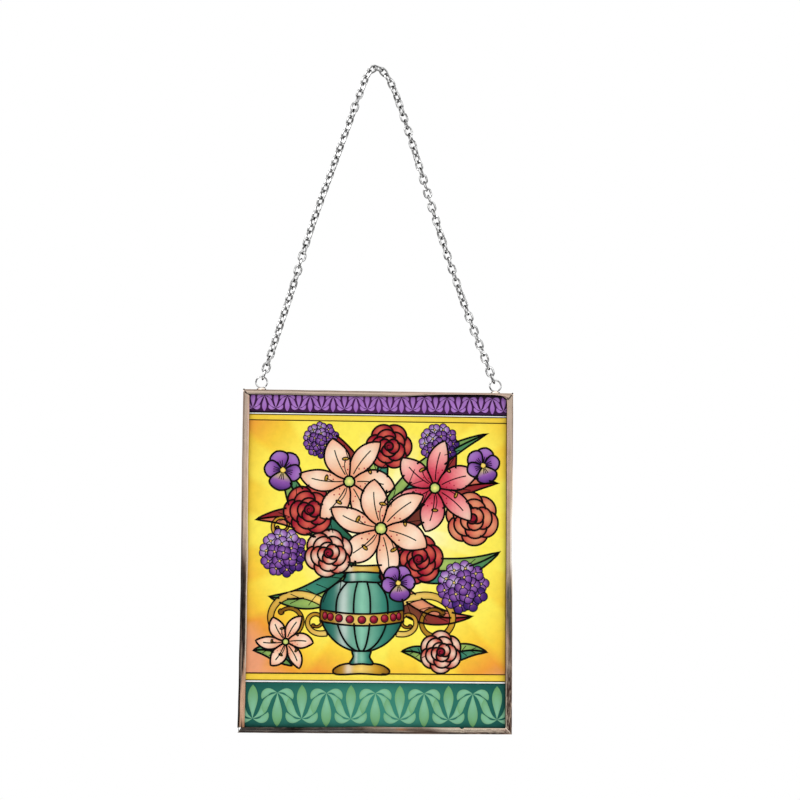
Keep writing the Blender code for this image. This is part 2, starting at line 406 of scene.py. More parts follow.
def came_section(start):
    """The channel's outline at one end of a top strip, as one face. -Y is the front."""
    half, bed = FRAME_DEPTH / 2, FRAME_DEPTH / 2 - CAME_WALL
    front = [(-half, 0.0), (-half, GROOVE[0]), (GROOVE_DEPTH - half, GROOVE[1]), (-half, GROOVE[2])]
    lip = [(-half, CAME_FACE), (-bed, CAME_FACE)]
    inside = [(-bed, CAME_WALL), (bed, CAME_WALL), (bed, CAME_FACE)]
    corners = front + lip + inside + [(half, CAME_FACE), (half, 0.0)]
    shape = bmesh.new()
    verts = [shape.verts.new((start, depth, -inward)) for depth, inward in corners]
    shape.faces.new(verts)
    round_off(shape, [verts[4], verts[5], verts[8], verts[9]], LIP_RADIUS, 3, "VERTICES")
    shoulders = [vert for vert in shape.verts if abs(vert.co.z) < 1e-6]
    round_off(shape, shoulders, SHOULDER_RADIUS, 5, "VERTICES")
    return shape


# %% Extrude one side
STRIP_STEP = 1.0 * MM


def extrude_strip(length):
    """The section pulled to a straight strip, with a map: u along it, v in from the outer edge."""
    shape = came_section(-length / 2)
    steps = round(length / STRIP_STEP)
    cap = shape.faces[:]
    # Each step leaves its old end face inside the metal, a wall that the finished strip could do without
    for _ in range(steps):
        grown = bmesh.ops.extrude_face_region(shape, geom=cap)["geom"]
        cap = [item for item in grown if isinstance(item, bmesh.types.BMFace)]
        far = [item for item in grown if isinstance(item, bmesh.types.BMVert)]
        bmesh.ops.translate(shape, verts=far, vec=(length / steps, 0.0, 0.0))
    strip_map = shape.loops.layers.uv.new("strip")
    for face in shape.faces:
        for loop in face.loops:
            co = loop.vert.co
            loop[strip_map].uv = (co.x / length + 0.5, -co.z / CAME_FACE)
    return shape


# %% Shape its lip, its ends and its waves
LIP_ROOT = 0.9 * MM  # the lip's width varies inward of here
WAVE_HEIGHT = 0.08 * MM
WAVE_LENGTH = 9.0 * MM
EDGE_WOBBLE = 0.16 * MM
SETTLE_ROUNDS = 6  # the lip and the mitre depend on each other, so both are worked out in rounds


def value_along(stops, share):
    """Read a value between (share, value) stops."""
    return float(np.interp(share, *zip(*stops)))


def settle(co, length, ends, lip):
    """Where a point of the strip ends up along and across, once its lip and its mitre are cut."""
    gap, slope = ends[0] if co.x < 0 else ends[1]
    along, inward = co.x, -co.z
    for _ in range(SETTLE_ROUNDS):
        if co.y < 0 and -co.z > LIP_ROOT:
            reach = value_along(lip, along / length + 0.5) * MM
            inward = LIP_ROOT + (-co.z - LIP_ROOT) * (reach - LIP_ROOT) / (CAME_FACE - LIP_ROOT)
        along = (along + co.x * (1 - 2 * (gap * MM + slope * inward) / length)) / 2
    return along, inward


def make_side(name, given, seed, material):
    """One side of the frame, made along the top and then turned to its place."""
    upright = given["turn"] % 180 == 90
    length, across = (FRAME_HEIGHT, FRAME_WIDTH) if upright else (FRAME_WIDTH, FRAME_HEIGHT)
    shape = extrude_strip(length)
    for vert in shape.verts:
        co = vert.co
        co.x, inward = settle(co, length, given["ends"], given["lip"])
        inset = value_along(given["edge"], co.x / length + 0.5) * MM
        wave = noise.noise((co.x / WAVE_LENGTH, inward / WAVE_LENGTH * 3, seed))
        ripple = noise.noise((co.x / WAVE_LENGTH * 3.1, inward / WAVE_LENGTH, seed + 7))
        wobble = noise.noise((co.x / WAVE_LENGTH * 0.8, seed + 3, 0.0))
        co.y += WAVE_HEIGHT * (wave + 0.4 * ripple) * math.copysign(inward / CAME_FACE, co.y)
        dent = (inset + EDGE_WOBBLE * (0.5 + 0.5 * wobble)) * (1 - max(inward, 0.0) / CAME_FACE)
        co.z = -inward - max(dent, 0.0)
    bmesh.ops.recalc_face_normals(shape, faces=shape.faces)
    turn = Matrix.Rotation(math.radians(given["turn"]), 4, "Y")
    place = Matrix.Translation(FRAME_CENTRE) @ turn @ Matrix.Translation((0.0, 0.0, across / 2))
    bmesh.ops.transform(shape, matrix=place, verts=shape.verts)
    finish_piece(shape, name + "_channel", material, [name], 35.0)


# %% [markdown]
# The strip's finish follows the strip, so it reads the strip's own map: its first number runs along
# the length and its second in from the outer edge. Across, the metal has four to six lanes, from
# the rounded shoulder to the lip. Each lane has its own run of tones along the length, because the
# tinning is bright in places and has gone brown or black in others, and because the lanes also
# carry painted reflections: near white where a shoulder would mirror the bright room, near black
# where it would mirror dark surroundings, and paler strips as painted highlights. The borders
# between lanes waver a little, fine drawn lines run through all of them, and towards one corner
# the tinning is crazed.

# %% Tones of the tinned strip and of its painted reflections
def read_palette(text):
    """Named everyday screen colours, 0 to 255, as the linear light that a shader works in."""
    palette = {}
    for entry in text.split(","):
        name, *screen = entry.split()
        share = np.array(screen, float) / 255
        palette[name] = tuple(np.where(share <= 0.04045, share / 12.92, ((share + 0.055) / 1.055) ** 2.4))
    return palette


TINNING_AND_SHEEN = read_palette(
    "soot 17 13 12, char 42 36 34, iron 66 62 60, maroon 64 40 36, umber 80 62 52, slate 92 88 85,"
    "ash 126 122 118, bronze 116 96 84, copper 174 124 90, taupe 144 126 112, sand 170 152 137,"
    "peach 208 164 134, apricot 232 186 154, rose 184 153 138, beige 186 165 146,"
    "cream 216 198 178, pearl 236 224 214, white 252 250 247"
)


def tone_ramp(tree, along, run):
    """A run of named tones, each followed by its places along the strip in percent."""
    stops = []
    for part in run.split(", "):
        tone, *places = part.split()
        stops += [(float(place) / 100, TINNING_AND_SHEEN[tone]) for place in places]
    return ramp(tree, along, stops)


# %% Finish of the came
BORDER_SOFTNESS = 0.025
BORDER_WAVER = 0.14
SCUFFS = ((0.5, 0.0), (0.66, 1.0))  # fine rubbed streaks: none and full, by the noise's value
CRAZING = (("maroon", ((0.43, 1.0), (0.49, 0.0))), ("beige", ((0.53, 0.0), (0.6, 1.0))))  # by the noise
CRAZING_STOPS = (0.9, 0.8)  # none on the lip's inner edge, full from here outwards
WALL_SHARE = 0.03  # the outer wall's own tone ends this far in


def lane_colours(tree, along, across, given):
    """Lanes side by side, outer edge first, with soft borders between them."""
    colour = tone_ramp(tree, along, given["lanes"][0])
    for border, run in zip(given["borders"], given["lanes"][1:]):
        side = span(tree, across, border - BORDER_SOFTNESS, border + BORDER_SOFTNESS, "SMOOTHSTEP")
        colour = mix(tree, side, colour, tone_ramp(tree, along, run))
    return colour


def rub_and_craze(tree, strip, along, across, colour, given):
    """Rubbed streaks, then the crazing where this side has it."""
    scuffs = use_group(tree, DRAWN_LINES, Vector=strip, Stretch=(34.0, 9.0, 1.0))["Tone"]
    rubbed = times(tree, ramp(tree, scuffs, SCUFFS), given["scuffed"])
    colour = mix(tree, rubbed, colour, TINNING_AND_SHEEN["taupe"], "LIGHTEN")
    crackle = use_group(tree, DRAWN_LINES, Vector=strip, Stretch=(44.0, 7.0, 1.0))["Tone"]
    reach = times(tree, span(tree, along, *given["crazed"]), span(tree, across, *CRAZING_STOPS))
    for tone, stops in CRAZING:
        share = times(tree, ramp(tree, crackle, stops), reach)
        colour = mix(tree, share, colour, TINNING_AND_SHEEN[tone])
    return colour


def came_material(name, given):
    """Tinned strip: lanes of tarnish and painted reflection, drawn lines, wear, the outer wall's own tone,
    and tarnish over all.
    """
    material, tree, shader = new_material(name)
    strip = add_node(tree, "UVMap", {"uv_map": "strip"}).outputs[0]
    along, inward, _ = add_node(tree, "SeparateXYZ", Vector=strip).outputs
    waver = plus(tree, cloud_noise(tree, strip, 38.0, 3.0), -0.5)
    across = plus(tree, inward, times(tree, waver, BORDER_WAVER))
    polish = {"Stretch": (9.0, 13.0, 1.0), "Roughness": 0.27, "Spread": 0.2, "Depth": 0.15}
    lines = use_group(tree, DRAWN_LINES, Vector=strip, **polish)
    streak = ramp(tree, lines["Tone"], ((0.3, 0.78), (0.5, 1.0), (0.75, 1.15)))
    colour = mix(tree, 1.0, lane_colours(tree, along, across, given), streak, "MULTIPLY")
    colour = rub_and_craze(tree, strip, along, across, colour, given)
    colour = mix(tree, span(tree, inward, 0.0, WALL_SHARE), TINNING_AND_SHEEN[given["wall"]], colour)
    place = own_place(tree)
    stain = {"Clean": colour, "Tarnished": TINNING_AND_SHEEN["umber"], "Amount": 0.1}
    dulled = use_group(tree, TARNISH, Vector=place, Scale=420.0, **stain)["Color"]
    worn = use_group(tree, EDGE_WEAR, Vector=place, Amount=0.2)["Mask"]
    dress(tree, shader, mix(tree, worn, dulled, TINNING_AND_SHEEN["cream"]), lines, Metallic=1.0)
    return material


# %% [markdown]
# The four sides differ, so each has its own entry. The top one narrows to the right and then sweeps
# down into the corner. The left one is black for a stretch below its middle. The right one turns
# from beige to mottled brown, and the bottom one from beige at its right end to near black. The
# near-black stretches are partly tarnish and partly painted dark reflection, and the right one's
# near-white stretch is a painted reflection. Three corners are mitred. At the lower left the
# upright was cut square and short, so a gap stays open.
# Each entry gives the side's turn, and at each end the mm drawn in and the slope, where 1 is a mitre.
# Its edge's dents and its lip's widths are in mm, by share of the length. Its crazing runs from none
# at the first share to full at the second. Its lanes' tones are placed in percent of the length.

# %% Four sides of the frame
SIDES = {
    "top_came": {
        "turn": 0,
        "ends": ((0.28, 1.0), (0.32, 1.0)),
        "edge": ((0.0, 0.0), (1.0, 0.0)),
        "lip": (
            (0.0, 2.9), (0.14, 2.85), (0.29, 3.05), (0.44, 3.1), (0.59, 2.85), (0.66, 2.1), (0.736, 1.45),
            (0.85, 1.15), (0.93, 1.2), (0.951, 1.5), (0.96, 1.85), (0.966, 2.5), (0.971, 3.3),
            (0.976, 4.2),
        ),
        "wall": "sand",
        "scuffed": 0.0,
        "crazed": (1.0, 2.0),
        "borders": (0.2, 0.6, 0.86),
        "lanes": (
            "bronze 0 50, taupe 70 100",
            "sand 0 50, rose 70 90, sand 100",
            "sand 0, taupe 45, sand 60, rose 100",
            "sand 0 30, beige 50, sand 100",
        ),
    },
    "right_came": {
        "turn": 90,
        "ends": ((0.32, 1.0), (0.05, 1.0)),
        "edge": ((0.0, 0.15), (0.1, 0.1), (0.3, 0.1), (0.55, 0.15), (0.7, 0.1), (1.0, 0.05)),
        "lip": (
            (0.02, 4.2), (0.026, 3.9), (0.034, 3.75), (0.25, 3.75), (0.45, 3.7), (0.6, 3.9), (0.8, 3.8),
            (1.0, 3.75),
        ),
        "wall": "sand",
        "scuffed": 0.75,
        "crazed": (0.72, 0.94),
        "borders": (0.18, 0.4, 0.62, 0.86),
        # Outer lane: its pearl and white run is a painted reflection of the bright room; the browns
        # further on are tarnish and painted dark reflection together
        "lanes": (
            "bronze 0 10, taupe 20, cream 26, pearl 33, white 40 50, cream 56, taupe 60, bronze 72 87, "
            "umber 100",
            "sand 0, beige 25, cream 33, pearl 39 50, taupe 55, slate 58 73, bronze 77, taupe 80, "
            "bronze 84, maroon 87, umber 90, bronze 93, taupe 97, maroon 100",
            "sand 0, beige 50, taupe 55, slate 58 69, bronze 73, taupe 81, umber 84, maroon 88, "
            "umber 92, bronze 96, maroon 100",
            "sand 0, rose 30, beige 40 54, slate 58 64, taupe 70, rose 74, beige 81, bronze 85, "
            "umber 88 100",
            "rose 0, beige 50, taupe 57 63, sand 70, beige 85, cream 100",
        ),
    },
    "bottom_came": {
        "turn": 180,
        "ends": ((0.05, 1.0), (0.45, 0.67)),
        "edge": ((0.0, 0.0), (0.4, 0.0), (0.6, 0.12), (1.0, 0.2)),
        "lip": (
            (0.0, 3.6), (0.12, 3.65), (0.176, 3.75), (0.181, 3.0), (0.184, 2.8), (0.192, 3.75), (0.3, 3.8),
            (0.42, 3.85), (0.53, 4.05), (0.64, 3.6), (0.8, 3.4), (1.0, 3.35),
        ),
        "wall": "umber",
        "scuffed": 0.25,
        "crazed": (0.24, -0.1),
        "borders": (0.34, 0.54, 0.82),
        # Its near-black runs are partly tarnish and partly painted dark reflection
        "lanes": (
            "bronze 0, char 4, soot 9, umber 13, soot 17, char 22, umber 32, char 42 56 75, soot 80, "
            "char 90 100",
            "sand 0, cream 4 20, sand 25, umber 29, bronze 34, sand 40, taupe 49, slate 55, ash 62 72, "
            "iron 79 84, slate 92, iron 100",
            "rose 0, cream 5 22, taupe 28, bronze 33 37, copper 40, taupe 43 50, umber 55, iron 60 68, "
            "char 75, soot 80, iron 88 100",
            "beige 0 20, sand 26, bronze 33, taupe 42, bronze 48 52, char 57 62, soot 78, char 90, "
            "soot 100",
        ),
    },
    "left_came": {
        "turn": 270,
        "ends": ((3.1, 0.08), (0.28, 1.0)),
        "edge": (
            (0.0, 0.2), (0.08, 0.33), (0.13, 0.45), (0.2, 0.38), (0.27, 0.5), (0.42, 0.5), (0.51, 0.4),
            (0.6, 0.3), (0.8, 0.0), (1.0, 0.0),
        ),
        "lip": (
            (0.0, 4.2), (0.126, 4.4), (0.27, 4.5), (0.36, 4.4), (0.42, 4.3), (0.51, 4.55), (0.594, 4.1),
            (0.77, 3.7), (0.944, 3.75), (1.0, 3.6),
        ),
        "wall": "bronze",
        "scuffed": 0.1,
        "crazed": (1.0, 2.0),
        "borders": (0.24, 0.36, 0.5, 0.7, 0.84),
        # Its near-black run below the middle is partly tarnish and partly painted dark reflection
        "lanes": (
            "soot 0 46, iron 50, umber 56, bronze 62, taupe 77, bronze 100",
            "umber 0 8, char 13, bronze 17 29, char 33, iron 44, umber 50, taupe 55 65, sand 77, "
            "taupe 100",
            "peach 0, apricot 4 10, taupe 14 23, char 26, soot 30 46, umber 49, taupe 52, beige 58, "
            "sand 100",
            "maroon 0, peach 3, apricot 5 11, peach 15, umber 17, soot 18, char 44, umber 48, taupe 51, "
            "beige 60, sand 100",
            "copper 0, apricot 3 10, peach 14 19, umber 22, char 31, umber 45, taupe 49, beige 53, "
            "rose 80 100",
            "copper 0, apricot 3, peach 14, cream 20 35 80, rose 100",
        ),
    },
}
for number, (side, given) in enumerate(SIDES.items()):
    make_side(side, given, number * 5.3, came_material(side + "_tinning_and_sheen", given))

# %% [markdown]
# ## Solder at the corners
#
# Where two channels meet, a little solder runs behind the mitre and holds it. It shows dark through
# the two upper mitres, and on the lower right it stands up as a pale seam along the diagonal. Each
# lump is a flat outline thickened by an extrusion, with its edge bevelled, because solder lies thin
# and ends in a soft edge.

# %% Finish of solder
def solder_material(name, clean, dull, amount):
    """Soft grey metal, cloudy and a little grainy."""
    material, tree, shader = new_material(name)
    place = own_place(tree)
    cloud = use_group(tree, TARNISH, Vector=place, Scale=700.0, Clean=clean, Tarnished=dull, Amount=amount)
    grain = {"Stretch": (900.0, 900.0, 900.0), "Roughness": 0.3, "Spread": 0.25, "Depth": 0.6}
    dress(tree, shader, cloud["Color"], use_group(tree, DRAWN_LINES, Vector=place, **grain), Metallic=1.0)
    return material


DARK_SOLDER = solder_material("dark_solder", (0.10, 0.075, 0.06), (0.02, 0.015, 0.012), 0.5)
PALE_SOLDER = solder_material("pale_solder", (0.80, 0.68, 0.58), (0.36, 0.27, 0.21), 0.35)


# %% Bars and drops of solder
LIP_FRONT = -FRAME_DEPTH / 2
TOP_LEFT, TOP_RIGHT, LOW_RIGHT = (-1, 1), (1, 1), (1, -1)  # signs of x and z


def corner_point(corner, inward):
    """The (x, z) of a place given by its distances in from an outer corner."""
    x = FRAME_CENTRE.x + corner[0] * (FRAME_WIDTH / 2 - inward[0])
    z = FRAME_CENTRE.z + corner[1] * (FRAME_HEIGHT / 2 - inward[1])
    return x, z


def corner_bar(shape, corner, start, end, width, front, back):
    """A slim pointed bar between two places: thickened between two depths, its front edge rounded."""
    start, end = Vector(start) * MM, Vector(end) * MM
    along = (end - start).normalized() * width / 2
    side = Vector((along.y, -along.x))
    outline = [start - along, start + side, end + side, end + along, end - side, start - side]
    flat = [corner_point(corner, place) for place in outline]
    base = shape.faces.new([shape.verts.new((x, back, z)) for x, z in flat])
    grown = bmesh.ops.extrude_face_region(shape, geom=[base])["geom"]
    top = [item for item in grown if isinstance(item, bmesh.types.BMFace)][0]
    bmesh.ops.translate(shape, verts=top.verts[:], vec=(0.0, front - back, 0.0))
    round_off(shape, top.edges[:], width * 0.25, 3)
    bmesh.ops.recalc_face_normals(shape, faces=shape.faces)


def add_drop(shape, place, radius, stretch=1.0):
    """A small round drop, drawn out along X."""
    matrix = Matrix.Translation(place) @ Matrix.Scale(stretch, 4, (1.0, 0.0, 0.0))
    bmesh.ops.create_uvsphere(shape, u_segments=12, v_segments=8, radius=radius, matrix=matrix)


def make_corner_solder(name, material, depths, bars, drops):
    """Lumps at the corners. The depths, in mm behind the lip's front, are the bars' two and the drops'."""
    shape = bmesh.new()
    front, back, middle = [LIP_FRONT + depth * MM for depth in depths]
    for corner, start, end, width in bars:
        corner_bar(shape, corner, start, end, width * MM, front, back)
    for corner, place, radius in drops:
        x, z = corner_point(corner, Vector(place) * MM)
        add_drop(shape, (x, middle, z), radius * MM)
    finish_piece(shape, name, material)


# %% Mitre solder: dark, in the two upper mitres, with a drop at each tip
MITRE_BARS = (  # corner, then two ends in mm in from it, and the width
    (TOP_LEFT, (0.9, 1.3), (2.1, 2.5), 0.85),
    (TOP_LEFT, (2.2, 2.4), (3.1, 3.2), 0.3),
    (TOP_RIGHT, (1.3, 1.3), (2.9, 3.6), 0.75),
    (TOP_RIGHT, (3.0, 3.6), (3.8, 2.6), 0.45),
)
MITRE_DROPS = ((TOP_LEFT, (0.45, 0.25), 0.5), (TOP_RIGHT, (0.65, 0.3), 0.52))
make_corner_solder("mitre_solder", DARK_SOLDER, (-0.12, 0.5, 0.45), MITRE_BARS, MITRE_DROPS)

# %% Corner seam: pale, along the lower right mitre, with a bright drop beside each upper tip
SEAM_BARS = ((LOW_RIGHT, (1.4, 1.4), (3.8, 3.8), 0.3),)
SEAM_DROPS = ((TOP_LEFT, (0.5, 1.2), 0.42), (TOP_RIGHT, (0.3, 1.2), 0.42))
make_corner_solder("corner_seam", PALE_SOLDER, (-0.1, 0.3, 0.3), SEAM_BARS, SEAM_DROPS)

# %% [markdown]
# ## The glass
#
# The pane is the solid model's own node, because its shape is right: a flat sheet with ground edges.
# It only needs clear glass. See-through glass is plain values on the shader, with a slow wave in the
# normal, as rolled glass has.

# %% Finish of the glass
def glass_material():
    """Clear sheet glass with a slow wave."""
    material, tree, shader = new_material("clear_glass")
    fill(tree, shader, Base_Color=(0.94, 0.98, 0.96), Transmission_Weight=1.0, IOR=1.52)
    place = own_place(tree)
    slow = cloud_noise(tree, place, 35.0, 2.0)
    bump = add_node(tree, "Bump", Height=slow, Strength=0.25, Distance=0.1 * MM).outputs[0]
    haze = cloud_noise(tree, place, 160.0, 4.0)
    fill(tree, shader, Roughness=ramp(tree, haze, ((0.4, 0.02), (0.7, 0.07))), Normal=bump)
    return material


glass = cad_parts["glass_pane"]
glass.data.materials.clear()
glass.data.materials.append(glass_material())

# %% [markdown]
# ## Rings and chain
#
# The hardware is nickel-plated wire. A ring is a round section spun once about its centre, with the
# last section merged onto the first. Its foot sits in a bead of solder on the frame's top edge.

# %% Finish of nickel wire
def nickel_material():
    """Bright plate with fine pits, dark patches that are partly tarnish and partly painted dark
    reflection, and a painted dark rim where the wire turns away from the view.
    """
    material, tree, shader = new_material("nickel_wire")
    place = own_place(tree)
    # Near-black patches over about half the wire: partly tarnish, partly painted dark reflection
    patches = {"Clean": (0.8, 0.8, 0.8), "Tarnished": (0.03, 0.03, 0.03), "Amount": 0.53}
    cloud = use_group(tree, TARNISH, Vector=place, Scale=700.0, **patches)["Color"]
    # Painted dark reflection: the Facing value darkens the wire towards its outline, where it turns away
    # from the view
    facing = add_node(tree, "LayerWeight", Blend=0.5).outputs["Facing"]
    worn = use_group(tree, EDGE_WEAR, Vector=place, Amount=0.35)["Mask"]
    plate = mix(tree, worn, cloud, (0.8, 0.8, 0.79))
    colour = mix(tree, ramp(tree, facing, ((0.14, 0.0), (0.5, 0.93))), plate, (0.02, 0.02, 0.02))
    pits = {"Stretch": (1500.0, 1500.0, 1500.0), "Roughness": 0.08, "Spread": 0.1, "Depth": 0.2}
    dress(tree, shader, colour, use_group(tree, DRAWN_LINES, Vector=place, **pits), Metallic=1.0)
    fill(tree, shader, Specular_Tint=(0.1, 0.1, 0.1))
    return material


NICKEL = nickel_material()


# %% Hanging rings
RING_WIRE = 0.85 * MM
RING_OUTER = 7.2 * MM
RING_RADIUS = (RING_OUTER - RING_WIRE) / 2
RING_SIDES, RING_STEPS = 14, 56


def wire_ring(radius, wire_radius, sides, steps):
    """A round wire closed to a ring about the Y axis."""
    shape = bmesh.new()
    out = Matrix.Translation((radius, 0.0, 0.0))
    bmesh.ops.create_circle(shape, cap_ends=False, radius=wire_radius, segments=sides, matrix=out)
    turn = {"cent": (0.0, 0.0, 0.0), "axis": (0.0, 1.0, 0.0), "angle": math.tau, "steps": steps}
    bmesh.ops.spin(shape, geom=shape.edges[:], use_merge=True, use_duplicate=False, **turn)
    bmesh.ops.recalc_face_normals(shape, faces=shape.faces)
    return shape


def ring_centre(side):
    """Middle of a hanging ring: its solid's box is as wide as the ring and as high as its top."""
    low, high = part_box(side + "_hanging_ring")
    return Vector(((low.x + high.x) / 2, 0.0, high.z - RING_OUTER / 2))


def make_ring(side):
    """One ring of round wire."""
    shape = wire_ring(RING_RADIUS, RING_WIRE / 2, RING_SIDES, RING_STEPS)
    bmesh.ops.translate(shape, verts=shape.verts, vec=ring_centre(side))
    finish_piece(shape, side + "_ring_wire", NICKEL, [side + "_hanging_ring"])


# %% Beads and dark specks
BEAD_SIZE = (2.1 * MM, 1.5 * MM, 1.1 * MM)
BEAD_UNEVENNESS, BEAD_WAVE = 0.16, 1.4
SPECK_PLACE = (2.0 * MM, -0.3 * MM, 0.25 * MM)  # beside the ring's middle, forward, above the frame
SPECK_RADIUS, SPECK_STRETCH = 0.4 * MM, 1.5


def make_bead(side):
    """The drop of solder that holds a ring's foot, centred on the frame's top edge and uneven."""
    shape = bmesh.new()
    bmesh.ops.create_uvsphere(shape, u_segments=28, v_segments=16, radius=1.0)
    for vert in shape.verts:
        bump = noise.noise(vert.co * BEAD_WAVE + Vector((len(side), 0.0, 0.0)))
        vert.co *= 1 + BEAD_UNEVENNESS * bump
    bmesh.ops.scale(shape, vec=BEAD_SIZE, verts=shape.verts)
    bmesh.ops.translate(shape, verts=shape.verts, vec=(ring_centre(side).x, 0.0, FRAME_TOP))
    finish_piece(shape, side + "_solder_bead", PALE_SOLDER, [side + "_hanging_ring"])


def make_dark_specks():
    """Dark specks on each side of each bead, where it thins out on the frame's edge."""
    shape = bmesh.new()
    beside, forward, above = SPECK_PLACE
    for side in ("left", "right"):
        for x in (ring_centre(side).x - beside, ring_centre(side).x + beside):
            add_drop(shape, (x, forward, FRAME_TOP + above), SPECK_RADIUS, SPECK_STRETCH)
    finish_piece(shape, "dark_specks", DARK_SOLDER)


make_dark_specks()
for side in ("left", "right"):
    make_ring(side)
    make_bead(side)

# %% [markdown]
# The chain's links are the same ring pulled long. They follow the route of the solid model's chain:
# a smooth curve through listed marks, walked in equal straight steps, one link to a step.
# Each link turns a quarter further than the one before, with slow swings where the chain twists.

# %% The chain's route
ROUTE_SAMPLES = 40
SLACK = 0.4 * MM  # play between a ring and its link, and at each end of the top link
ROUTE_MARKS = (  # mm, from the frame's centre line and its top edge, left to right
    (-57.6, 31.0), (-49.2, 58.5), (-38.7, 94.5), (-26.6, 130.5), (-14.4, 166.0), (-8.8, 181.6),
    (-5.6, 186.0), (-1.6, 185.6), (2.8, 181.2), (7.0, 173.0), (11.0, 162.0), (15.4, 149.0),
    (19.9, 135.0), (31.2, 99.0), (47.3, 52.0),
)


def ring_bearing(side, towards):
    """Where the chain's end link bears on a ring."""
    centre = ring_centre(side)
    return centre + (towards - centre).normalized() * (RING_RADIUS - RING_WIRE / 2 - SLACK)


def curve_point(before, start, end, after, share):
    """Point between start and end on a centripetal Catmull-Rom curve."""
    points = (before, start, end, after)
    knots = [0.0]
    for first, second in zip(points, points[1:]):
        knots.append(knots[-1] + math.sqrt((second - first).length))
    at = knots[1] + (knots[2] - knots[1]) * share

    def blend(first, second, low, high):
        return first.lerp(second, (at - knots[low]) / (knots[high] - knots[low]))

    near, middle, far = [blend(points[n], points[n + 1], n, n + 1) for n in range(3)]
    return blend(blend(near, middle, 0, 2), blend(middle, far, 1, 3), 1, 2)


def curve_through(marks, samples):
    """Points along the curve through the marks, its ends carried straight on."""
    ends = [marks[0] * 2 - marks[1], *marks, marks[-1] * 2 - marks[-2]]
    curve = []
    for index in range(len(marks) - 1):
        curve += [curve_point(*ends[index : index + 4], sample / samples) for sample in range(samples)]
    return curve + [marks[-1]]


def chain_route():
    """Fine points along the chain's centre line."""
    marks = [Vector((FRAME_CENTRE.x + x * MM, 0.0, FRAME_TOP + z * MM)) for x, z in ROUTE_MARKS]
    marks = [ring_bearing("left", marks[0]), *marks, ring_bearing("right", marks[-1])]
    return curve_through(marks, ROUTE_SAMPLES)


# %% Where each link starts and ends
LINK_COUNT = 93
TOP_LINK = 46
PITCH_LIMITS = (3.5 * MM, 5.0 * MM)
HALVINGS = 40


def walk_route(route, chords):
    """Step along the route so that each step's straight length is the next chord."""
    stops = [route[0]]
    segment = 0
    for chord in chords:
        here = stops[-1]
        while segment < len(route) - 2 and (route[segment + 1] - here).length < chord:
            segment += 1
        low, high = route[segment], route[segment + 1]
        reach, fall = (low - here).length, (high - here).length
        stops.append(low.lerp(high, (chord - reach) / (fall - reach)))
    return stops


def link_stops():
    """Bearing points and the pitch that spreads the links over the route, found by halving."""
    route = chain_route()
    low, high = PITCH_LIMITS
    for _ in range(HALVINGS):
        pitch = (low + high) / 2
        chords = [pitch - 2 * SLACK if index == TOP_LINK else pitch for index in range(LINK_COUNT)]
        stops = walk_route(route, chords)
        if stops[-1].x > route[-1].x:
            high = pitch
        else:
            low = pitch
    return stops, pitch


# %% How each link is turned
LEAN = 45  # degrees that the links turn from square, once clear of the ends
END_LINKS = 4  # how many links it takes to reach that
TWIST = 38  # degrees that the chain's slow twist adds or takes
TWIST_LENGTH, TWIST_START = 20.5, 4  # links in one swing of the right strand, and before the first
TWIST_FADE = 9  # links over which the swing grows from the hook and dies out at the ring
LEFT_TWISTS = ((16, 2.0), (39.5, 1.0))  # in the left strand: the middle link, and how many each way


def link_turn(index):
    """How far a link is turned about the chain's line, in degrees; 90 is edge-on in front."""
    from_end = min(index, LINK_COUNT - 1 - index)
    past_top = index - TOP_LINK
    lean = LEAN * min(from_end / END_LINKS, 1.0)
    if past_top > 0:
        fade = min(past_top / TWIST_FADE, from_end / TWIST_FADE, 1.0)
        lean += TWIST * math.sin((past_top - TWIST_START) * math.tau / TWIST_LENGTH) * fade
    else:
        lean -= TWIST * sum(math.exp(-(((index - middle) / reach) ** 2)) for middle, reach in LEFT_TWISTS)
    return lean + (90 if index % 2 == 0 else 0)


# %% Make and hang the links
LINK_WIDTH = 4.9 * MM
LINK_WIRE = 1.15 * MM
LINK_SIDES = 8
LINK_STEPS = 20
BEARING_BITE = 0.02 * MM


def link_place(stops, index):
    """Matrix that carries a link from the origin to its place."""
    start, end = stops[index], stops[index + 1]
    along, across = (end - start).normalized(), Vector((0.0, 1.0, 0.0))
    axes = Matrix((along, across, along.cross(across))).transposed().to_4x4()
    roll = Matrix.Rotation(math.radians(link_turn(index)), 4, "X")
    return Matrix.Translation((start + end) / 2) @ axes @ roll


def hang_links(stops, pitch, indices, name, replaced):
    """Copies of one link along a stretch of the chain."""
    bend = (LINK_WIDTH - LINK_WIRE) / 2
    link = wire_ring(bend, LINK_WIRE / 2, LINK_SIDES, LINK_STEPS)
    stretch = (pitch + LINK_WIRE - BEARING_BITE) / 2 - bend
    for vert in link.verts:
        vert.co.x += math.copysign(stretch, vert.co.x) if abs(vert.co.x) > 1e-7 else 0.0
    carrier = bpy.data.meshes.new("link")
    link.to_mesh(carrier)
    link.free()
    run = bmesh.new()
    for index in indices:
        before = len(run.verts)
        run.from_mesh(carrier)
        run.verts.ensure_lookup_table()
        bmesh.ops.transform(run, matrix=link_place(stops, index), verts=run.verts[before:])
    bpy.data.meshes.remove(carrier)
    finish_piece(run, name, NICKEL, [replaced])


stops, pitch = link_stops()
print("link pitch %.3f mm" % (pitch / MM))
hang_links(stops, pitch, range(TOP_LINK), "left_chain", "left_chain_strand")
hang_links(stops, pitch, [TOP_LINK], "hook_link", "top_chain_link")
hang_links(stops, pitch, range(TOP_LINK + 1, LINK_COUNT), "right_chain", "right_chain_strand")

# %% [markdown]
# ## The picture
#
# The pane carries a flower piece in transparent paints: an urn of lilies, roses, pansies and
# hydrangeas on a sunlit ground, between two friezes. Each area is a cell with one airbrushed colour
# run and a black outline. It could be an image, but a drawing made of curves stays sharp at any
# size and shows how it was built. Points are (x, z) pairs in millimetres from the pane's middle.

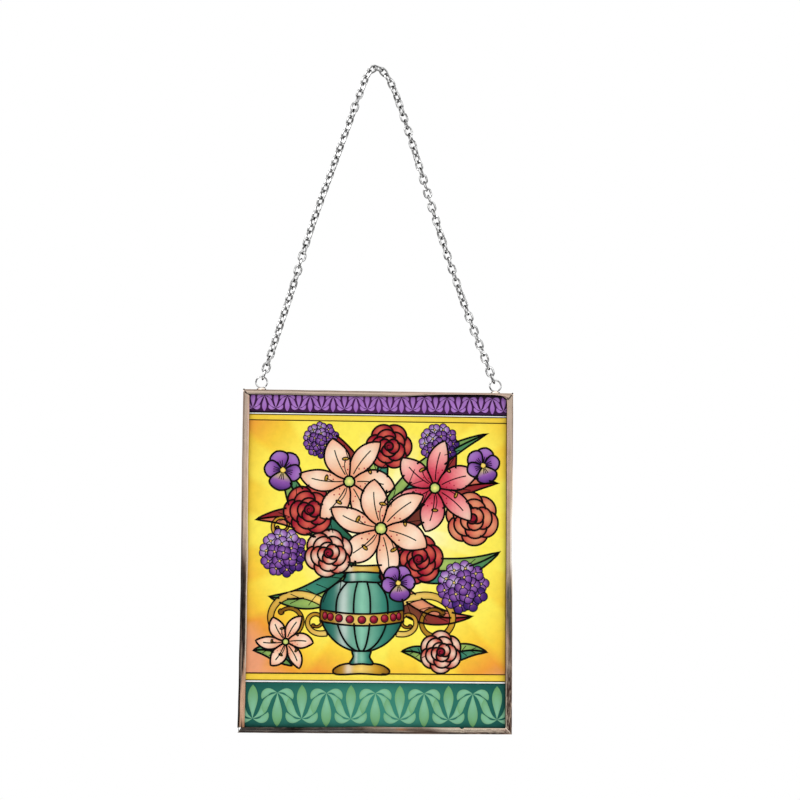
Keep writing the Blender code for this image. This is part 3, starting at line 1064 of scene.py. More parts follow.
# %% The inks
INKS = read_palette(
    "cream 255 246 196, straw 255 242 142, sun 253 234 90, amber 248 206 64, orange 238 158 58,"
    "gold_light 250 216 118, gold 212 160 50, gold_deep 124 80 24,"
    "plum_dark 52 26 58, plum 84 42 90, lilac 188 140 212, violet 150 92 178,"
    "violet_deep 82 40 120, indigo 48 34 104, blush 252 226 202, peach 242 192 158,"
    "apricot 234 158 118, coral 224 104 84, rose_light 246 166 162, rose 220 84 104,"
    "crimson 174 28 52, wine 92 16 36, brown 124 70 46,"
    "leaf_light 176 200 104, leaf 98 150 80, leaf_deep 36 88 60,"
    "teal_light 140 198 172, teal 62 136 118, teal_deep 20 74 70, white 250 250 246"
)
GREENS = ("teal_deep", "teal", "teal_light", "teal", "teal_deep")
GOLDS = ("gold_deep", "gold", "gold_light", "gold", "gold_deep")


def blend_inks(names, amount):
    """Run evenly through several inks as amount goes from 0 to 1."""
    stops = np.array([INKS[name] for name in names])
    at = np.clip(amount, 0, 1) * (len(names) - 1)
    low = np.minimum(at.astype(int), len(names) - 2)
    share = (at - low)[:, None]
    return stops[low] * (1 - share) + stops[low + 1] * share


# %% [markdown]
# A cell holds its outline, the width of its black line and a function that paints it. The function
# gets points and how far each lies in from the outline, so a colour can deepen towards the line as
# an airbrushed one does. Later cells lie over earlier ones, as the painter works.

# %% Cells, lines and airbrushing
OUTLINE = 1.08
FINE_LINE = 0.64
SHINE_PLACE, SHINE_WIDTH = -0.45, 0.13  # the streak of light on a round body, in half widths
cells = []
strokes = []


def add_cell(outline, paint, line=OUTLINE):
    """One area of paint over everything so far."""
    cells.append({"outline": np.asarray(outline, float), "paint": paint, "line": line})


def add_stroke(path, width=FINE_LINE):
    """A free line over everything so far."""
    strokes.append({"path": np.asarray(path, float), "width": width, "over": len(cells)})


def deepen(colour, margin, rim, width, share):
    """Let the rim's ink take over towards the outline."""
    edge = (np.exp(-margin / width) * share)[:, None]
    return colour * (1 - edge) + edge * INKS[rim]


def airbrush(inks, focus, reach, rim, width=1.5, share=0.5):
    """Inks that spread out from a point."""

    def paint(points, margin):
        away = np.linalg.norm(points - np.array(focus), axis=1)
        return deepen(blend_inks(inks, away / reach), margin, rim, width, share)

    return paint


def graded(inks, path, rim, width=1.5):
    """Inks that run along a path from its first point to its last."""

    def paint(points, margin):
        nearest = np.linalg.norm(points[:, None] - path[None], axis=2).argmin(1)
        return deepen(blend_inks(inks, nearest / (len(path) - 1)), margin, rim, width, 0.5)

    return paint


def turned(inks, axis, half_width, rim):
    """Inks that run across a round body, with a streak of light left of its axis."""

    def paint(points, margin):
        across = (points[:, 0] - axis) / half_width
        shine = np.exp(-(((across - SHINE_PLACE) / SHINE_WIDTH) ** 2))[:, None] * 0.5
        colour = blend_inks(inks, 0.5 + 0.5 * across) * (1 - shine) + shine * INKS["white"]
        return deepen(colour, margin, rim, 1.2, 0.5)

    return paint


# %% Curves to draw with
def polar(centre, radius, degrees):
    """A point at a distance and a bearing from another."""
    angle = math.radians(degrees)
    return np.array(centre, float) + radius * np.array([math.cos(angle), math.sin(angle)])


def arc(centre, radius, start, end, count):
    """Points along a circle."""
    return np.array([polar(centre, radius, angle) for angle in np.linspace(start, end, count)])


def circle(centre, radius, count=20):
    """Points all round a circle."""
    return arc(centre, radius, 0, 360 - 360 / count, count)


def oval(middle, degrees, length, width, count=16):
    """An ellipse whose long axis points at a bearing."""
    ring = circle((0, 0), 1, count) * (length / 2, width / 2)
    along, side = polar((0, 0), 1, degrees), polar((0, 0), 1, degrees + 90)
    return np.array(middle) + ring[:, :1] * along + ring[:, 1:] * side


def bowed(start, end, bend, count):
    """A line that bows sideways by bend times its length."""
    start, end = np.array(start, float), np.array(end, float)
    share = np.linspace(0, 1, count)[:, None]
    chord = end - start
    side = np.array([-chord[1], chord[0]])
    return start + chord * share + side * bend * 4 * share * (1 - share)


# %% Smooth paths and bands along them
def smooth_path(marks, steps=6):
    """The same kind of curve as the chain's route, through flat marks."""
    return np.array([tuple(point) for point in curve_through([Vector(mark) for mark in marks], steps)])


def sides_of(path, half_widths):
    """The two edges of a band along a path."""
    heading = np.gradient(path, axis=0)
    heading /= np.linalg.norm(heading, axis=1)[:, None]
    side = np.stack([-heading[:, 1], heading[:, 0]], 1) * np.reshape(half_widths, (-1, 1))
    return path + side, path - side


def blade_sides(path, width, swell, fullness):
    """Edges of a petal or leaf; a higher swell moves its widest place towards the tip."""
    share = np.linspace(0, 1, len(path))
    return sides_of(path, width / 2 * np.maximum(np.sin(np.pi * share**swell), 0) ** fullness)


def blade(path, width, swell, fullness):
    """The closed outline of a petal or leaf."""
    left, right = blade_sides(path, width, swell, fullness)
    return np.vstack([left, right[-2:0:-1]])


# %% [markdown]
# ### Petals, leaves and flowers
#
# A petal is a band that swells and closes along a bowed line. Flowers are petals turned about a
# centre, so each kind needs only its count, its proportions and its inks. The back petals come
# first, because the front ones cover them.

# %% Petal, leaf and spot
def petal(base, tip, width, inks, rim, bend=0.0, swell=1.0, fullness=0.8, line=OUTLINE):
    """One petal from its base to its tip; returns the line it follows."""
    path = bowed(base, tip, bend, 24)
    add_cell(blade(path, width, swell, fullness), graded(inks, path, rim), line)
    return path


LEAF_GREEN = (("leaf", "leaf_light", "leaf"), ("leaf_deep", "teal", "leaf"))
LEAF_COPPER = (("crimson", "apricot", "coral"), ("wine", "brown", "crimson"))
LEAF_VEINS = 4


def leaf(base, tip, width, bend, inks=LEAF_GREEN):
    """Two half blades in two tones that meet at the midrib, with side veins."""
    path = bowed(base, tip, bend, 30)
    edges = blade_sides(path, width, 0.8, 0.9)
    for edge, tones in zip(edges, inks):
        add_cell(np.vstack([edge, path[-2:0:-1]]), graded(tones, path, inks[1][0]))
    for vein in range(LEAF_VEINS):
        foot = int(len(path) * (0.22 + 0.6 * vein / LEAF_VEINS))
        head = min(foot + 4, len(path) - 2)
        for edge in edges:
            add_stroke([path[foot], path[foot] * 0.25 + edge[head] * 0.75], FINE_LINE * 0.7)


def spot(centre, radius, inks, reach, rim, count=20, line=OUTLINE):
    """A round cell."""
    add_cell(circle(centre, radius, count), airbrush(inks, centre, reach, rim), line)


# %% Lily and rose
LILY = ("apricot", "peach", "blush", "peach")
PINK_LILY = ("crimson", "rose", "rose_light", "blush")
RED_ROSE = ("coral", "crimson", "wine")
CORAL_ROSE = ("apricot", "coral", "crimson")
PEACH_ROSE = ("blush", "coral", "crimson")
ROSE_RINGS = ((0.62, 6, 0.5), (0.42, 5, 0.42), (0.2, 4, 0.32))  # reach, count, size


def lily(centre, size, turn, inks=LILY, rim="coral"):
    """Six long petals in two threes, a green throat and five anthers on their filaments."""
    for reach, width, offset in ((1.0, 0.42, 30), (0.92, 0.5, -30)):
        for side in range(3):
            bearing = turn + offset + 120 * side
            base, tip = polar(centre, size * 0.04, bearing), polar(centre, size * reach, bearing + 8)
            rib = petal(base, tip, size * width, inks, rim, bend=0.07, swell=1.1, fullness=0.75)
            add_stroke(rib[3:-6])
            for step, swerve in enumerate((-6, 9, -2)):
                freckle = polar(centre, size * (0.24 + 0.08 * step), bearing + swerve)
                spot(freckle, size * 0.017, ("crimson", "crimson"), 1, "crimson", 6, 0)
    spot(centre, size * 0.11, ("straw", "leaf_light"), size * 0.12, "leaf")
    for stamen in range(5):
        bearing = turn + 14 + 72 * stamen
        end = polar(centre, size * 0.46, bearing)
        add_stroke(bowed(polar(centre, size * 0.1, bearing), end, 0.12, 9), FINE_LINE * 0.8)
        anther = oval(end, bearing + 86, size * 0.13, size * 0.06)
        add_cell(anther, airbrush(("amber", "brown"), end, size * 0.08, "brown"), FINE_LINE)


def rose(centre, radius, turn, inks=RED_ROSE):
    """Three rings of rounded petals that close on a dark heart with a curled line."""
    for ring, (reach, count, lobe) in enumerate(ROSE_RINGS):
        for side in range(count):
            bearing = turn + 360 / count * (side + 0.5 * ring)
            middle = polar(centre, radius * reach, bearing)
            outline = oval(middle, bearing + 90, radius * lobe * 2.1, radius * lobe * 1.8, 30)
            light = polar(centre, radius * (reach + lobe * 0.55), bearing)
            add_cell(outline, airbrush(inks, light, radius * lobe * 1.7, "wine"))
    spot(centre, radius * 0.2, ("crimson", "wine"), radius * 0.25, "wine")
    curl = [polar(centre, radius * 0.02 * step, turn + 40 * step) for step in range(1, 9)]
    add_stroke(smooth_path(curl), FINE_LINE * 0.8)


# %% Pansy and hydrangea
PANSY_PETALS = (  # bearing, reach, width, inks
    (60, 1.0, 0.95, ("violet_deep", "violet", "lilac")),
    (120, 1.0, 0.95, ("violet_deep", "violet", "lilac")),
    (185, 0.95, 0.85, ("indigo", "violet", "lilac")),
    (-5, 0.95, 0.85, ("indigo", "violet", "lilac")),
    (270, 1.05, 1.15, ("sun", "violet", "violet_deep")),
)
FLORET_INKS = (  # in the light, half way and in the shade
    ("white", "lilac", "violet"),
    ("lilac", "violet", "violet_deep"),
    ("violet", "violet_deep", "indigo"),
)


def pansy(centre, radius, turn):
    """Five broad petals with dark whiskers and a yellow eye."""
    for offset, reach, width, inks in PANSY_PETALS:
        bearing = turn + offset
        base, tip = polar(centre, radius * 0.05, bearing), polar(centre, radius * reach, bearing)
        petal(base, tip, radius * width, inks, "indigo", swell=1.35, fullness=0.6)
        for spread in (-14, 0, 14):
            whisker = [polar(centre, radius * share, bearing + spread) for share in (0.2, 0.5)]
            add_stroke(whisker, FINE_LINE * 0.7)
    spot(centre, radius * 0.16, ("straw", "amber"), radius * 0.2, "gold", 18, 0.5)


def hydrangea(centre, radius, turn):
    """A round head of four-petalled florets, darker on the side away from the light."""
    for reach, count in ((0.8, 10), (0.42, 5), (0.0, 1)):
        for place in range(count):
            offset = polar((0, 0), reach, turn + 360 / count * place)
            shade = 0.5 + 0.25 * offset[0] - 0.35 * offset[1]
            inks = FLORET_INKS[0 if shade < 0.35 else 1 if shade < 0.7 else 2]
            middle = np.array(centre) + radius * offset
            size = radius * 0.34
            for side in range(4):
                tip = polar(middle, size * 1.05, turn + 47 * place + 90 * side)
                petal(middle, tip, size * 1.1, inks, "indigo", swell=1.2, fullness=0.55, line=0.5)
            spot(middle, size * 0.17, ("straw", "sun"), size, "gold", 10, 0.4)


# %% [markdown]
# ### Friezes and ground
#
# Two friezes close the picture, plum above and green below: palmettes that stand and hang by
# turns, with a white line and a yellow band. The ground between them is one wide cell. Its light comes
# from behind the flowers and falls off to orange in soft rays, most of all at the lower left.

# %% Ground
HALF_X = FRAME_WIDTH / 2 / MM - 2.6  # the film ends under the channel's lips
LOW_Z = 2.4 - FRAME_HEIGHT / 2 / MM
HIGH_Z = FRAME_HEIGHT / 2 / MM - 1.1
SUN = np.array((4.0, 18.0))
SUN_REACH = 118
SUNLIGHT = ("cream", "cream", "straw", "sun", "sun", "amber", "orange", "apricot")
RAY_COUNT, RAY_DEPTH, RAY_START = 13, 0.045, 50
DUSK_DEPTH, DUSK_REACH = 0.16, 130  # how much darker the lower left corner is, and how far away it lies


def box_outline(low_z, high_z, count=24):
    """A rectangle the full width of the picture."""
    across = np.linspace(-HALF_X, HALF_X, count)
    top = np.stack([across, np.full(count, high_z)], 1)
    return np.vstack([top, np.stack([across[::-1], np.full(count, low_z)], 1)])


def sunlight(points, margin):
    """Cream in the middle, orange at the corners, with rays of a slightly deeper yellow."""
    offset = points - SUN
    away = np.linalg.norm(offset, axis=1)
    rays = np.sin(np.arctan2(offset[:, 1], offset[:, 0]) * RAY_COUNT + away / 60)
    reach = away / SUN_REACH + RAY_DEPTH * np.clip(rays * 3, -1, 1) * np.clip(away / RAY_START, 0, 1)
    reach += DUSK_DEPTH * np.clip(-(points[:, 0] + points[:, 1]) / DUSK_REACH, 0, 1) ** 2
    return blend_inks(SUNLIGHT, reach)


# %% Friezes
# Lean, reach, width and bend
PALMETTE_LEAVES = ((0, 1.0, 0.3, 0.0), (32, 0.72, 0.22, 0.18), (68, 0.5, 0.2, 0.3))


def trim(outline, low_z, high_z):
    """Cut an outline off at the picture's sides and at a frieze's edges."""
    points = list(outline)
    for axis, limit, sign in ((0, -HALF_X, 1), (0, HALF_X, -1), (1, low_z, 1), (1, high_z, -1)):
        kept = []
        for here, after in zip(points, points[1:] + points[:1]):
            here_in, after_in = sign * (here[axis] - limit) >= 0, sign * (after[axis] - limit) >= 0
            if here_in:
                kept.append(here)
            if here_in != after_in:
                kept.append(here + (after - here) * (limit - here[axis]) / (after[axis] - here[axis]))
        points = kept
    return points


def palmette(base, size, up, low_z, high_z, inks):
    """Five leaves that fan out from one point."""
    for lean, reach, width, bend in PALMETTE_LEAVES:
        for hand in (-1, 1) if lean else (1,):
            tip = polar(base, size * reach, up * (90 - hand * lean))
            outline = blade(bowed(base, tip, -bend * hand * up, 13), size * width, 1.5, 0.8)
            outline = trim(outline, low_z, high_z)
            if len(outline) > 2:
                add_cell(outline, airbrush(inks, base, size * 1.2, inks[1], 0.6, 0.4), 0)


def frieze(low_z, high_z, step, ground, leaves):
    """Palmettes standing and hanging by turns along a dark band."""
    middle, half = (low_z + high_z) / 2, (high_z - low_z) / 2
    add_cell(box_outline(low_z, high_z), airbrush(ground, (0, middle), 90, ground[1], 3, 0.6))
    reach = int(HALF_X / step) + 1
    for place in range(-reach, reach + 1):
        up = 1 if place % 2 else -1
        palmette((place * step, middle - up * half * 0.55), half * 1.45, up, low_z, high_z, leaves)


def plain_band(low_z, high_z, inks, rim, line):
    """A straight band across the picture."""
    add_cell(box_outline(low_z, high_z), airbrush(inks, (0, low_z), 90, rim, 1.2, 0.5), line)


add_cell(box_outline(LOW_Z, HIGH_Z), sunlight, 0)
frieze(LOW_Z, -67.2, 13.5, ("teal", "teal_deep"), ("teal_light", "leaf"))
plain_band(-67.2, -66.0, ("white", "white"), "white", 0.5)
plain_band(-66.0, -62.2, ("sun", "amber"), "gold", 0.75)
frieze(82.2, HIGH_Z, 6.4, ("plum", "plum_dark"), ("lilac", "violet"))
plain_band(81.0, 82.2, ("white", "white"), "white", 0.5)
plain_band(77.8, 81.0, ("sun", "amber"), "gold", 0.75)

# %% [markdown]
# ### The urn
#
# The urn is drawn as a turned body: half outlines mirrored about its axis, in teal with gilt
# mouldings, gadroons on the body and a belt of garnets. Its handles are scrolls, bands whose
# heading turns faster and faster towards their ends.

# %% Scrolls
SCROLL_POINTS = 110


def scroll(start, heading, length, curl, width, tightening):
    """A tapering gilt band that winds up; curl is the whole turn in degrees."""
    share = np.linspace(0, 1, SCROLL_POINTS)
    turn = np.radians(heading) + np.radians(curl) * share ** (1 + tightening)
    steps = np.stack([np.cos(turn), np.sin(turn)], 1) * length / SCROLL_POINTS
    path = np.array(start) + np.cumsum(steps, 0)
    half = width / 2 * (1 - 0.6 * share)
    left, right = sides_of(path, half)
    end = np.degrees(turn[-1])
    cap = arc(path[-1], half[-1] * 1.8, end + 140, end - 140, 12)
    gilt = graded(("gold_light", "gold", "gold_deep"), path, "gold_deep", 0.9)
    add_cell(np.vstack([left, cap, right[::-1]]), gilt, 0.7)


# %% Urn
URN_AXIS = -8.0
URN_BODY = (
    (0.01, -49.8), (5.2, -49.5), (13.5, -45.5), (20.5, -37.5), (23.2, -28), (21.6, -19.5), (15, -13),
    (10.6, -11), (0.01, -11),
)
URN_FOOT = ((0.01, -62.2), (15, -62.2), (15.6, -60.4), (13, -58.2), (8.5, -56.8), (0.01, -56.8))
URN_STEM = ((0.01, -56.8), (6.5, -56.8), (4.6, -53), (5.2, -49.5), (0.01, -49.5))
URN_NECK = ((0.01, -11.6), (10.6, -11.4), (9.4, -8.4), (11.5, -5.4), (0.01, -5.4))
URN_LIP = ((0.01, -6.2), (14.5, -6.2), (15.8, -4.6), (14.5, -2.8), (0.01, -2.8))
GADROONS = (-1.0, -0.62, -0.2, 0.2, 0.62, 1.0)  # their edges, in half widths
GARNETS = 9


def turned_part(half_outline, inks, rim, edges=(1, -1)):
    """A part of the urn, mirrored about its axis, or cut into the strips between two edges."""
    right = smooth_path(half_outline)
    for low, high in zip(edges, edges[1:]):
        outline = np.vstack([right * (low, 1), right[::-1] * (high, 1)]) + (URN_AXIS, 0)
        add_cell(outline, turned(inks, URN_AXIS, right[:, 0].max(), rim))
    return right[:, 0].max()


def urn_belt(low_z, high_z, half_width, sag):
    """A gilt belt that sags like a level line on a round body, set with garnets."""
    across = np.linspace(-1, 1, 24)
    drop = sag * (1 - across**2)
    top, low = [np.stack([URN_AXIS + across * half_width, z - drop], 1) for z in (high_z, low_z)]
    add_cell(np.vstack([top, low[::-1]]), turned(GOLDS, URN_AXIS, half_width, "gold_deep"))
    for stone in range(GARNETS):
        bearing = math.radians(-72 + 18 * stone)
        x = URN_AXIS + (half_width - 1.7) * math.sin(bearing)
        z = (low_z + high_z) / 2 - sag * math.cos(bearing) ** 2
        outline = oval((x, z), 90, (high_z - low_z) * 0.66, 4.6 * (0.35 + 0.65 * math.cos(bearing)))
        add_cell(outline, airbrush(("rose", "crimson", "wine"), (x - 0.6, z + 0.8), 2.6, "wine"), 0.5)


def draw_urn():
    """Handles, foot, stem, gadrooned body, belt, neck and lip."""
    for hand in (-1, 1):
        scroll((URN_AXIS + hand * 20, -24), 90 - hand * 62, 82, -hand * 430, 4.6, 0.7)
        scroll((URN_AXIS + hand * 19, -40), 90 - hand * 100, 34, hand * 400, 3.2, 0.6)
    turned_part(URN_FOOT, GOLDS, "gold_deep")
    turned_part(URN_STEM, GREENS, "teal_deep")
    widest = turned_part(URN_BODY, GREENS, "teal_deep", GADROONS)
    urn_belt(-33.5, -27, widest, 2.4)
    turned_part(URN_NECK, GREENS, "teal_deep")
    turned_part(URN_LIP, GOLDS, "gold_deep")


# %% [markdown]
# ### Arranging the bouquet
#
# From back to front: leaves, a scroll, the urn, the outer flowers, then the large lilies that fill
# the middle, and a few blossoms that have fallen beside the urn.

# %% Bouquet
BACK_LEAVES = (  # base, tip, width, bend, inks
    ((-12, 0), (-60, -20), 15, 0.18, LEAF_GREEN),
    ((-14, 4), (-68, 22), 14, -0.16, LEAF_COPPER),
    ((-12, 10), (-52, 54), 15, 0.15, LEAF_GREEN),
    ((-8, 14), (-30, 74), 12, -0.12, LEAF_COPPER),
    ((2, 20), (8, 75), 12, 0.1, LEAF_GREEN),
    ((8, 16), (42, 73), 14, -0.14, LEAF_COPPER),
    ((6, 8), (68, 44), 15, 0.15, LEAF_COPPER),
    ((4, 2), (69, 6), 14, -0.14, LEAF_GREEN),
    ((2, -2), (54, -30), 13, -0.2, LEAF_COPPER),
    ((-2, 14), (62, 72), 11, 0.1, LEAF_GREEN),
)
for given in BACK_LEAVES:
    leaf(*given)
scroll((-44, 12), 190, 40, -430, 2.6, 0.8)
draw_urn()
hydrangea((48, -14), 13, 10)
hydrangea((-52, 4), 12, 30)
hydrangea((34, 66), 10, 0)
hydrangea((-32, 67), 9, 20)
rose((-38, 28), 13.5, 10)
rose((53, 24), 14, 40, CORAL_ROSE)
rose((6, 64), 12, 0)
lily((-16, 44), 28, 14)
lily((32, 41), 27, 40, PINK_LILY, "crimson")
rose((23, 1), 13, 70)
lily((2, 18), 30, 0)
rose((-27, 4), 12.5, 20, PEACH_ROSE)
pansy((-53, 50), 11, -10)
pansy((59, 54), 10, 20)
pansy((12, -12), 10, 8)

# %% Fallen blossoms
leaf((34, -58), (62, -50), 9, 0.15)
leaf((34, -58), (14, -50), 8, -0.15)
rose((36, -50), 11, 30, PEACH_ROSE)
leaf((-46, -58), (-68, -50), 9, -0.15)
lily((-50, -45), 16.5, 20)

# %% Painted shadow under the channel's lips: black border lines along their inner edge
def lip_shadow_line(side, start, end, inset):
    """A line along the inner edge of the top or right lip, in from it by inset, laid in black as painted
    shadow under the lip.
    """
    line = []
    for share in np.linspace(start, end, 90):
        across = value_along(SIDES[side]["lip"], share) + inset
        if side == "top_came":
            line.append(((share - 0.5) * FRAME_WIDTH / MM, FRAME_HEIGHT / 2 / MM - across))
        else:
            line.append((FRAME_WIDTH / 2 / MM - across, (0.5 - share) * FRAME_HEIGHT / MM))
    return line


add_stroke(lip_shadow_line("top_came", 0.03, 0.66, 0.05), 0.45)
add_stroke(lip_shadow_line("top_came", 0.62, 0.972, 0.35), 0.8)
add_stroke(lip_shadow_line("top_came", 0.7, 0.95, 1.1), 0.5)
add_stroke(lip_shadow_line("right_came", 0.026, 0.97, 0.0), 0.4)
print("picture:", len(cells), "cells and", len(strokes), "free lines")

# %% [markdown]
# ### From drawing to film
#
# The drawing becomes one flat film of paint. Outlines that later cells cover are dropped, the rest
# are handed to a triangulation together with an even grid, and each triangle belongs to the topmost
# cell under its middle. Its corners take that cell's colour, so runs of colour stay smooth and the
# borders stay sharp. Stacked sheets would also work, but thin sheets flicker where they lie close.

# %% Which cell is on top
SAMPLE_SHARES = (0.04, 0.5, 0.96)  # where each piece of an outline is tested


def inside(points, outline):
    """Which points an outline holds, by counting the edges to their right."""
    x, z = points[:, 0], points[:, 1]
    held = np.zeros(len(points), bool)
    for (ax, az), (bx, bz) in zip(outline, np.roll(outline, -1, 0)):
        if az != bz:
            held ^= ((az > z) != (bz > z)) & (x < (bx - ax) * (z - az) / (bz - az) + ax)
    return held


def top_cell(points):
    """The last cell over each point."""
    top = np.full(len(points), -1)
    for number, cell in enumerate(cells):
        low, high = cell["outline"].min(0), cell["outline"].max(0)
        near = np.nonzero(((points >= low) & (points <= high)).all(1))[0]
        if len(near):
            top[near[inside(points[near], cell["outline"])]] = number
    return top


def pieces_of(path, owner):
    """The straight pieces of a path: starts, ends, three points on each, and the cell they edge."""
    starts, ends = path[:-1], path[1:]
    shares = np.array(SAMPLE_SHARES)[None, :, None]
    samples = starts[:, None] * (1 - shares) + ends[:, None] * shares
    return starts, ends, samples.reshape(-1, 2), np.full(len(starts), owner)


closed = [pieces_of(np.vstack([cell["outline"], cell["outline"][:1]]), n) for n, cell in enumerate(cells)]
opened = [pieces_of(stroke["path"], stroke["over"] - 1) for stroke in strokes]
samples = np.vstack([piece[2] for piece in closed + opened])
owners = np.concatenate([piece[3] for piece in closed + opened])
seen = (top_cell(samples).reshape(-1, 3) <= owners[:, None]).any(1)
print("outline pieces:", len(seen), "seen:", int(seen.sum()))

# %% Triangulate the film
GRID = 0.9
ROW_STEP = 0.87  # of the grid, so that its triangles are even
WELD = 1e-4


def film_grid():
    """An even triangular grid, each row shifted by half a step."""
    rows = np.arange(LOW_Z + GRID / 2, HIGH_Z, GRID * ROW_STEP)
    across = np.arange(-HALF_X + GRID / 2, HALF_X - GRID / 2, GRID)
    shifted = [across + GRID / 4 * (-1) ** n for n in range(len(rows))]
    return np.vstack([np.stack([row, np.full(len(row), z)], 1) for row, z in zip(shifted, rows)])


def partition_film():
    """Corner points, triangles, and the cell that each triangle shows."""
    starts, ends = [np.vstack([piece[end] for piece in closed]) for end in (0, 1)]
    shown = seen[: len(starts)]
    borders = np.stack([starts[shown], ends[shown]], 1).reshape(-1, 2)
    points = [Vector(point) for point in np.vstack([borders, film_grid()])]
    edges = [(first, first + 1) for first in range(0, len(borders), 2)]
    made = delaunay_2d_cdt(points, edges, [], 0, WELD, False)
    corners, triangles = [np.array([tuple(item) for item in made[kind]]) for kind in (0, 2)]
    return corners, triangles, top_cell(corners[triangles].mean(1))


corners, triangles, owner = partition_film()
print("film:", len(triangles), "triangles")


# %% Colour the corners
LIP_SHADES = (  # side's sign and axis, mm from the outer edge to the lip, strength, reach in mm
    (-1, 0, 3.9, 0.35, 1.2),
    (1, 0, 3.5, 0.8, 1.3),
    (-1, 1, 3.6, 0.6, 1.1),
    (1, 1, 2.4, 0.5, 1.0),
)


def edge_distance(points, outline):
    """How far points lie from the nearest edge of an outline."""
    run = np.roll(outline, -1, 0) - outline
    length = np.maximum((run**2).sum(1), 1e-12)
    offset = points[:, None] - outline[None]
    share = np.clip((offset * run[None]).sum(2) / length, 0, 1)
    return np.linalg.norm(offset - share[:, :, None] * run[None], axis=2).min(1)


def corner_colours():
    """One colour for each corner of each triangle, shaded a little beside the channel's lip."""
    colours = np.ones((len(triangles), 3, 4))
    for number in np.unique(owner):
        faces = np.nonzero(owner == number)[0]
        used, back = np.unique(triangles[faces], return_inverse=True)
        margin = edge_distance(corners[used], cells[number]["outline"])
        colours[faces, :, :3] = cells[number]["paint"](corners[used], margin)[back.reshape(-1, 3)]
    points = corners[triangles]
    for sign, axis, lip, strength, reach in LIP_SHADES:
        half = (FRAME_WIDTH, FRAME_HEIGHT)[axis] / 2 / MM
        room = np.clip(half - lip - sign * points[:, :, axis], 0, None)
        colours[:, :, :3] *= (1 - strength * np.exp(-room / reach))[:, :, None]
    return colours


# %% [markdown]
# Transparent paint lets the light through as well as throwing it back. Its finish mixes a satin
# surface with a translucent one of the same colour. A cloudy grain varies how thick the paint lies.

# %% Group: paint grain
def build_paint_grain():
    """Cloudy thickness: darkens the colour a little and moves roughness and normal with it."""
    starts = {"Vector": NO_VECTOR, "Color": (0.5, 0.5, 0.5, 1.0), "Depth": 0.3}
    group, given, result = new_group("paint_grain", starts, ("Color", "Roughness", "Normal"))
    cloud = cloud_noise(group, given["Vector"], 260.0, 5.0, Roughness=0.65)
    thin = mix(group, given["Depth"], (1.0, 1.0, 1.0), ramp(group, cloud, ((0.3, 0.7), (0.6, 1.0))))
    fine = cloud_noise(group, given["Vector"], 2400.0, 3.0)
    height = plus(group, cloud, times(group, fine, 0.4))
    bump = add_node(group, "Bump", Height=height, Strength=0.3, Distance=0.05 * MM).outputs[0]
    colour = mix(group, 1.0, given["Color"], thin, "MULTIPLY")
    rough = ramp(group, cloud, ((0.3, 0.34), (0.7, 0.5)))
    fill(group, result, Color=colour, Roughness=rough, Normal=bump)
    return group


PAINT_GRAIN = build_paint_grain()


# %% Finish of the paint and its outlines
GLOW = 0.5  # share of the light that comes through from behind
RELIEF_BLACK = (0.0035, 0.003, 0.003)


def paint_material():
    """Transparent paint, coloured by the film's own attribute."""
    material, tree, shader = new_material("transparent_paint")
    place = own_place(tree)
    colour = add_node(tree, "Attribute", {"attribute_name": "paint"}).outputs["Color"]
    grain = use_group(tree, PAINT_GRAIN, Vector=place, Color=colour, Depth=0.22)
    dress(tree, shader, grain["Color"], grain, Specular_IOR_Level=0.05)
    glow = add_node(tree, "BsdfTranslucent", Color=grain["Color"])
    both = add_node(tree, "MixShader")
    for socket, value in zip(both.inputs, (GLOW, shader.outputs[0], glow.outputs[0])):
        feed(tree, socket, value)
    fill(tree, tree.nodes["Material Output"], Surface=both.outputs[0])
    return material


def outline_material():
    """Raised black relief paint, satin and a little uneven."""
    material, tree, shader = new_material("relief_outline")
    place = own_place(tree)
    grain = use_group(tree, PAINT_GRAIN, Vector=place, Color=RELIEF_BLACK, Depth=0.6)
    dress(tree, shader, grain["Color"], grain, Specular_IOR_Level=0.03)
    return material


# %% Lay the film on the glass
FILM_GAP = 0.02 * MM
FILM_FRONT = GLASS_FRONT - FILM_GAP


def make_film():
    """The triangulated sheet, with its colours on the corners and its face to the front."""
    flat = corners * MM + (FRAME_CENTRE.x, FRAME_CENTRE.z)
    places = np.insert(flat, 1, FILM_FRONT, axis=1)
    mesh = bpy.data.meshes.new("painted_picture")
    mesh.from_pydata(places.tolist(), [], triangles.tolist())
    paint = mesh.color_attributes.new("paint", "FLOAT_COLOR", "CORNER")
    paint.data.foreach_set("color", corner_colours().astype(np.float32).ravel())
    shape = bmesh.new()
    shape.from_mesh(mesh)
    bpy.data.meshes.remove(mesh)
    bmesh.ops.reverse_faces(shape, faces=[face for face in shape.faces if face.normal.y > 0])
    finish_piece(shape, "painted_picture", paint_material())


make_film()

# %% [markdown]
# The outlines are a raised relief paint squeezed from a fine tube. Each seen run of a cell's border
# becomes a curve with a low domed section, which is then made a mesh.

# %% Join the seen pieces into runs
LINE_HEIGHT = 0.16
STRAIGHTEN = 0.02  # mm that a line may be moved by dropping a point


def runs_of(starts, ends, shown):
    """Unbroken runs of seen pieces along one path."""
    runs, run = [], []
    for start, end, keep in zip(starts, ends, shown):
        if keep:
            run = run or [start]
            run.append(end)
        elif run:
            runs.append(run)
            run = []
    return runs + [run] if run else runs


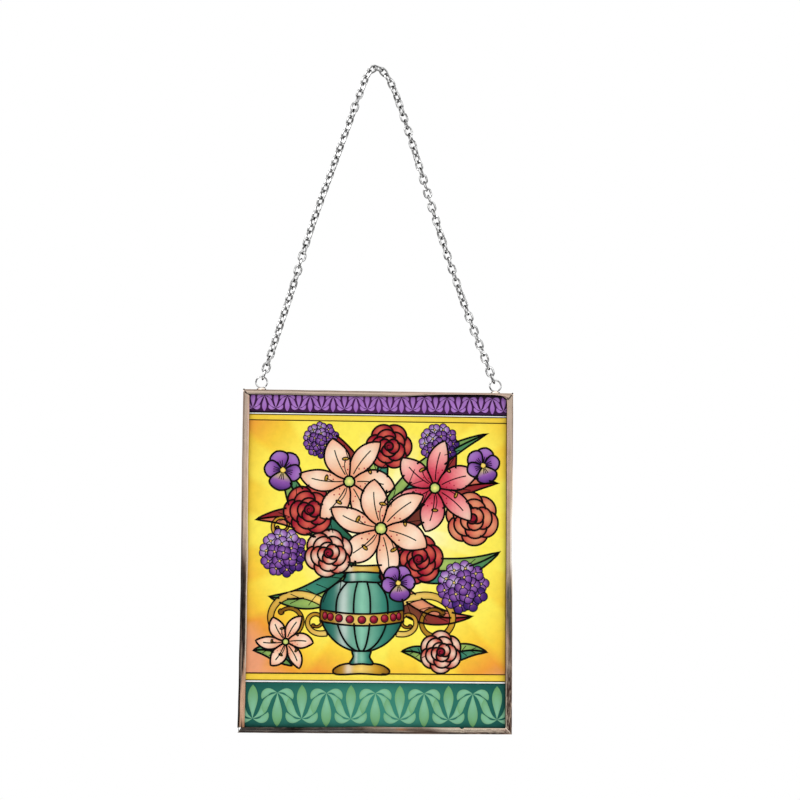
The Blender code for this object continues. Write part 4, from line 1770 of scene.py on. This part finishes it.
def thin_out(run):
    """Drop the points of a run that its neighbours already give, the longest straights first."""
    run = np.array(run)
    keep = {0, len(run) - 1}
    spans = [(0, len(run) - 1)]
    while spans:
        first, last = spans.pop()
        if last - first < 2:
            continue
        chord = run[last] - run[first]
        offset = run[first + 1 : last] - run[first]
        length = np.linalg.norm(chord)
        if length < 1e-6:
            away = np.linalg.norm(offset, axis=1)
        else:
            away = np.abs(chord[0] * offset[:, 1] - chord[1] * offset[:, 0]) / length
        if away.max() > STRAIGHTEN:
            middle = first + 1 + int(away.argmax())
            keep.add(middle)
            spans += [(first, middle), (middle, last)]
    return run[sorted(keep)]


def lines_by_width():
    """Every seen run, filed under its line's width."""
    filed = {}
    first = 0
    widths = [cell["line"] for cell in cells] + [stroke["width"] for stroke in strokes]
    for (starts, ends, *_), width in zip(closed + opened, widths):
        last = first + len(starts)
        if width:
            for run in runs_of(starts, ends, seen[first:last]):
                filed.setdefault(round(width, 2), []).append(thin_out(run))
        first = last
    return filed


# %% Squeeze out the relief lines
def add_spline(data, points, is_loop):
    """A straight-pieced spline through flat points."""
    spline = data.splines.new("POLY")
    spline.points.add(len(points) - 1)
    spline.use_cyclic_u = is_loop
    for point, (x, z) in zip(spline.points, points):
        point.co = (x, z, 0.0, 1.0)


def dome_section(width):
    """A flat-bottomed dome as a closed curve, to sweep along the lines."""
    data = bpy.data.curves.new("dome", "CURVE")
    wide, narrow = width / 2, width * 0.3
    add_spline(data, [(wide, 0.0), (narrow, LINE_HEIGHT), (-narrow, LINE_HEIGHT), (-wide, 0.0)], True)
    return bpy.data.objects.new("dome", data)


def sweep_lines(width, runs):
    """Curves of one width, swept flat in XY and read back as a mesh."""
    data = bpy.data.curves.new("lines", "CURVE")
    data.dimensions = "3D"
    data.twist_mode = "Z_UP"
    data.bevel_mode = "OBJECT"
    data.bevel_object = dome_section(width)
    data.use_fill_caps = True
    for run in runs:
        is_loop = len(run) > 3 and np.allclose(run[0], run[-1], atol=1e-6)
        add_spline(data, run[:-1] if is_loop else run, is_loop)
    curve = add_object("lines", data)
    bpy.context.view_layer.update()
    mesh = bpy.data.meshes.new_from_object(curve.evaluated_get(bpy.context.evaluated_depsgraph_get()))
    bpy.data.objects.remove(data.bevel_object)
    bpy.data.objects.remove(curve)
    return mesh


def make_outlines():
    """All the relief lines as one piece, stood up on the film."""
    shape = bmesh.new()
    total = 0.0
    for width, runs in sorted(lines_by_width().items()):
        mesh = sweep_lines(width, runs)
        shape.from_mesh(mesh)
        bpy.data.meshes.remove(mesh)
        total += sum(np.linalg.norm(np.diff(run, axis=0), axis=1).sum() for run in runs)
    stand = Matrix.Translation((FRAME_CENTRE.x, FILM_FRONT, FRAME_CENTRE.z))
    stand = stand @ Matrix.Rotation(math.radians(90), 4, "X") @ Matrix.Scale(MM, 4)
    bmesh.ops.transform(shape, matrix=stand, verts=shape.verts)
    bmesh.ops.recalc_face_normals(shape, faces=shape.faces)
    print("relief lines: %.1f m" % (total / 1000))
    finish_piece(shape, "relief_outlines", outline_material(), sharp=70.0)


make_outlines()
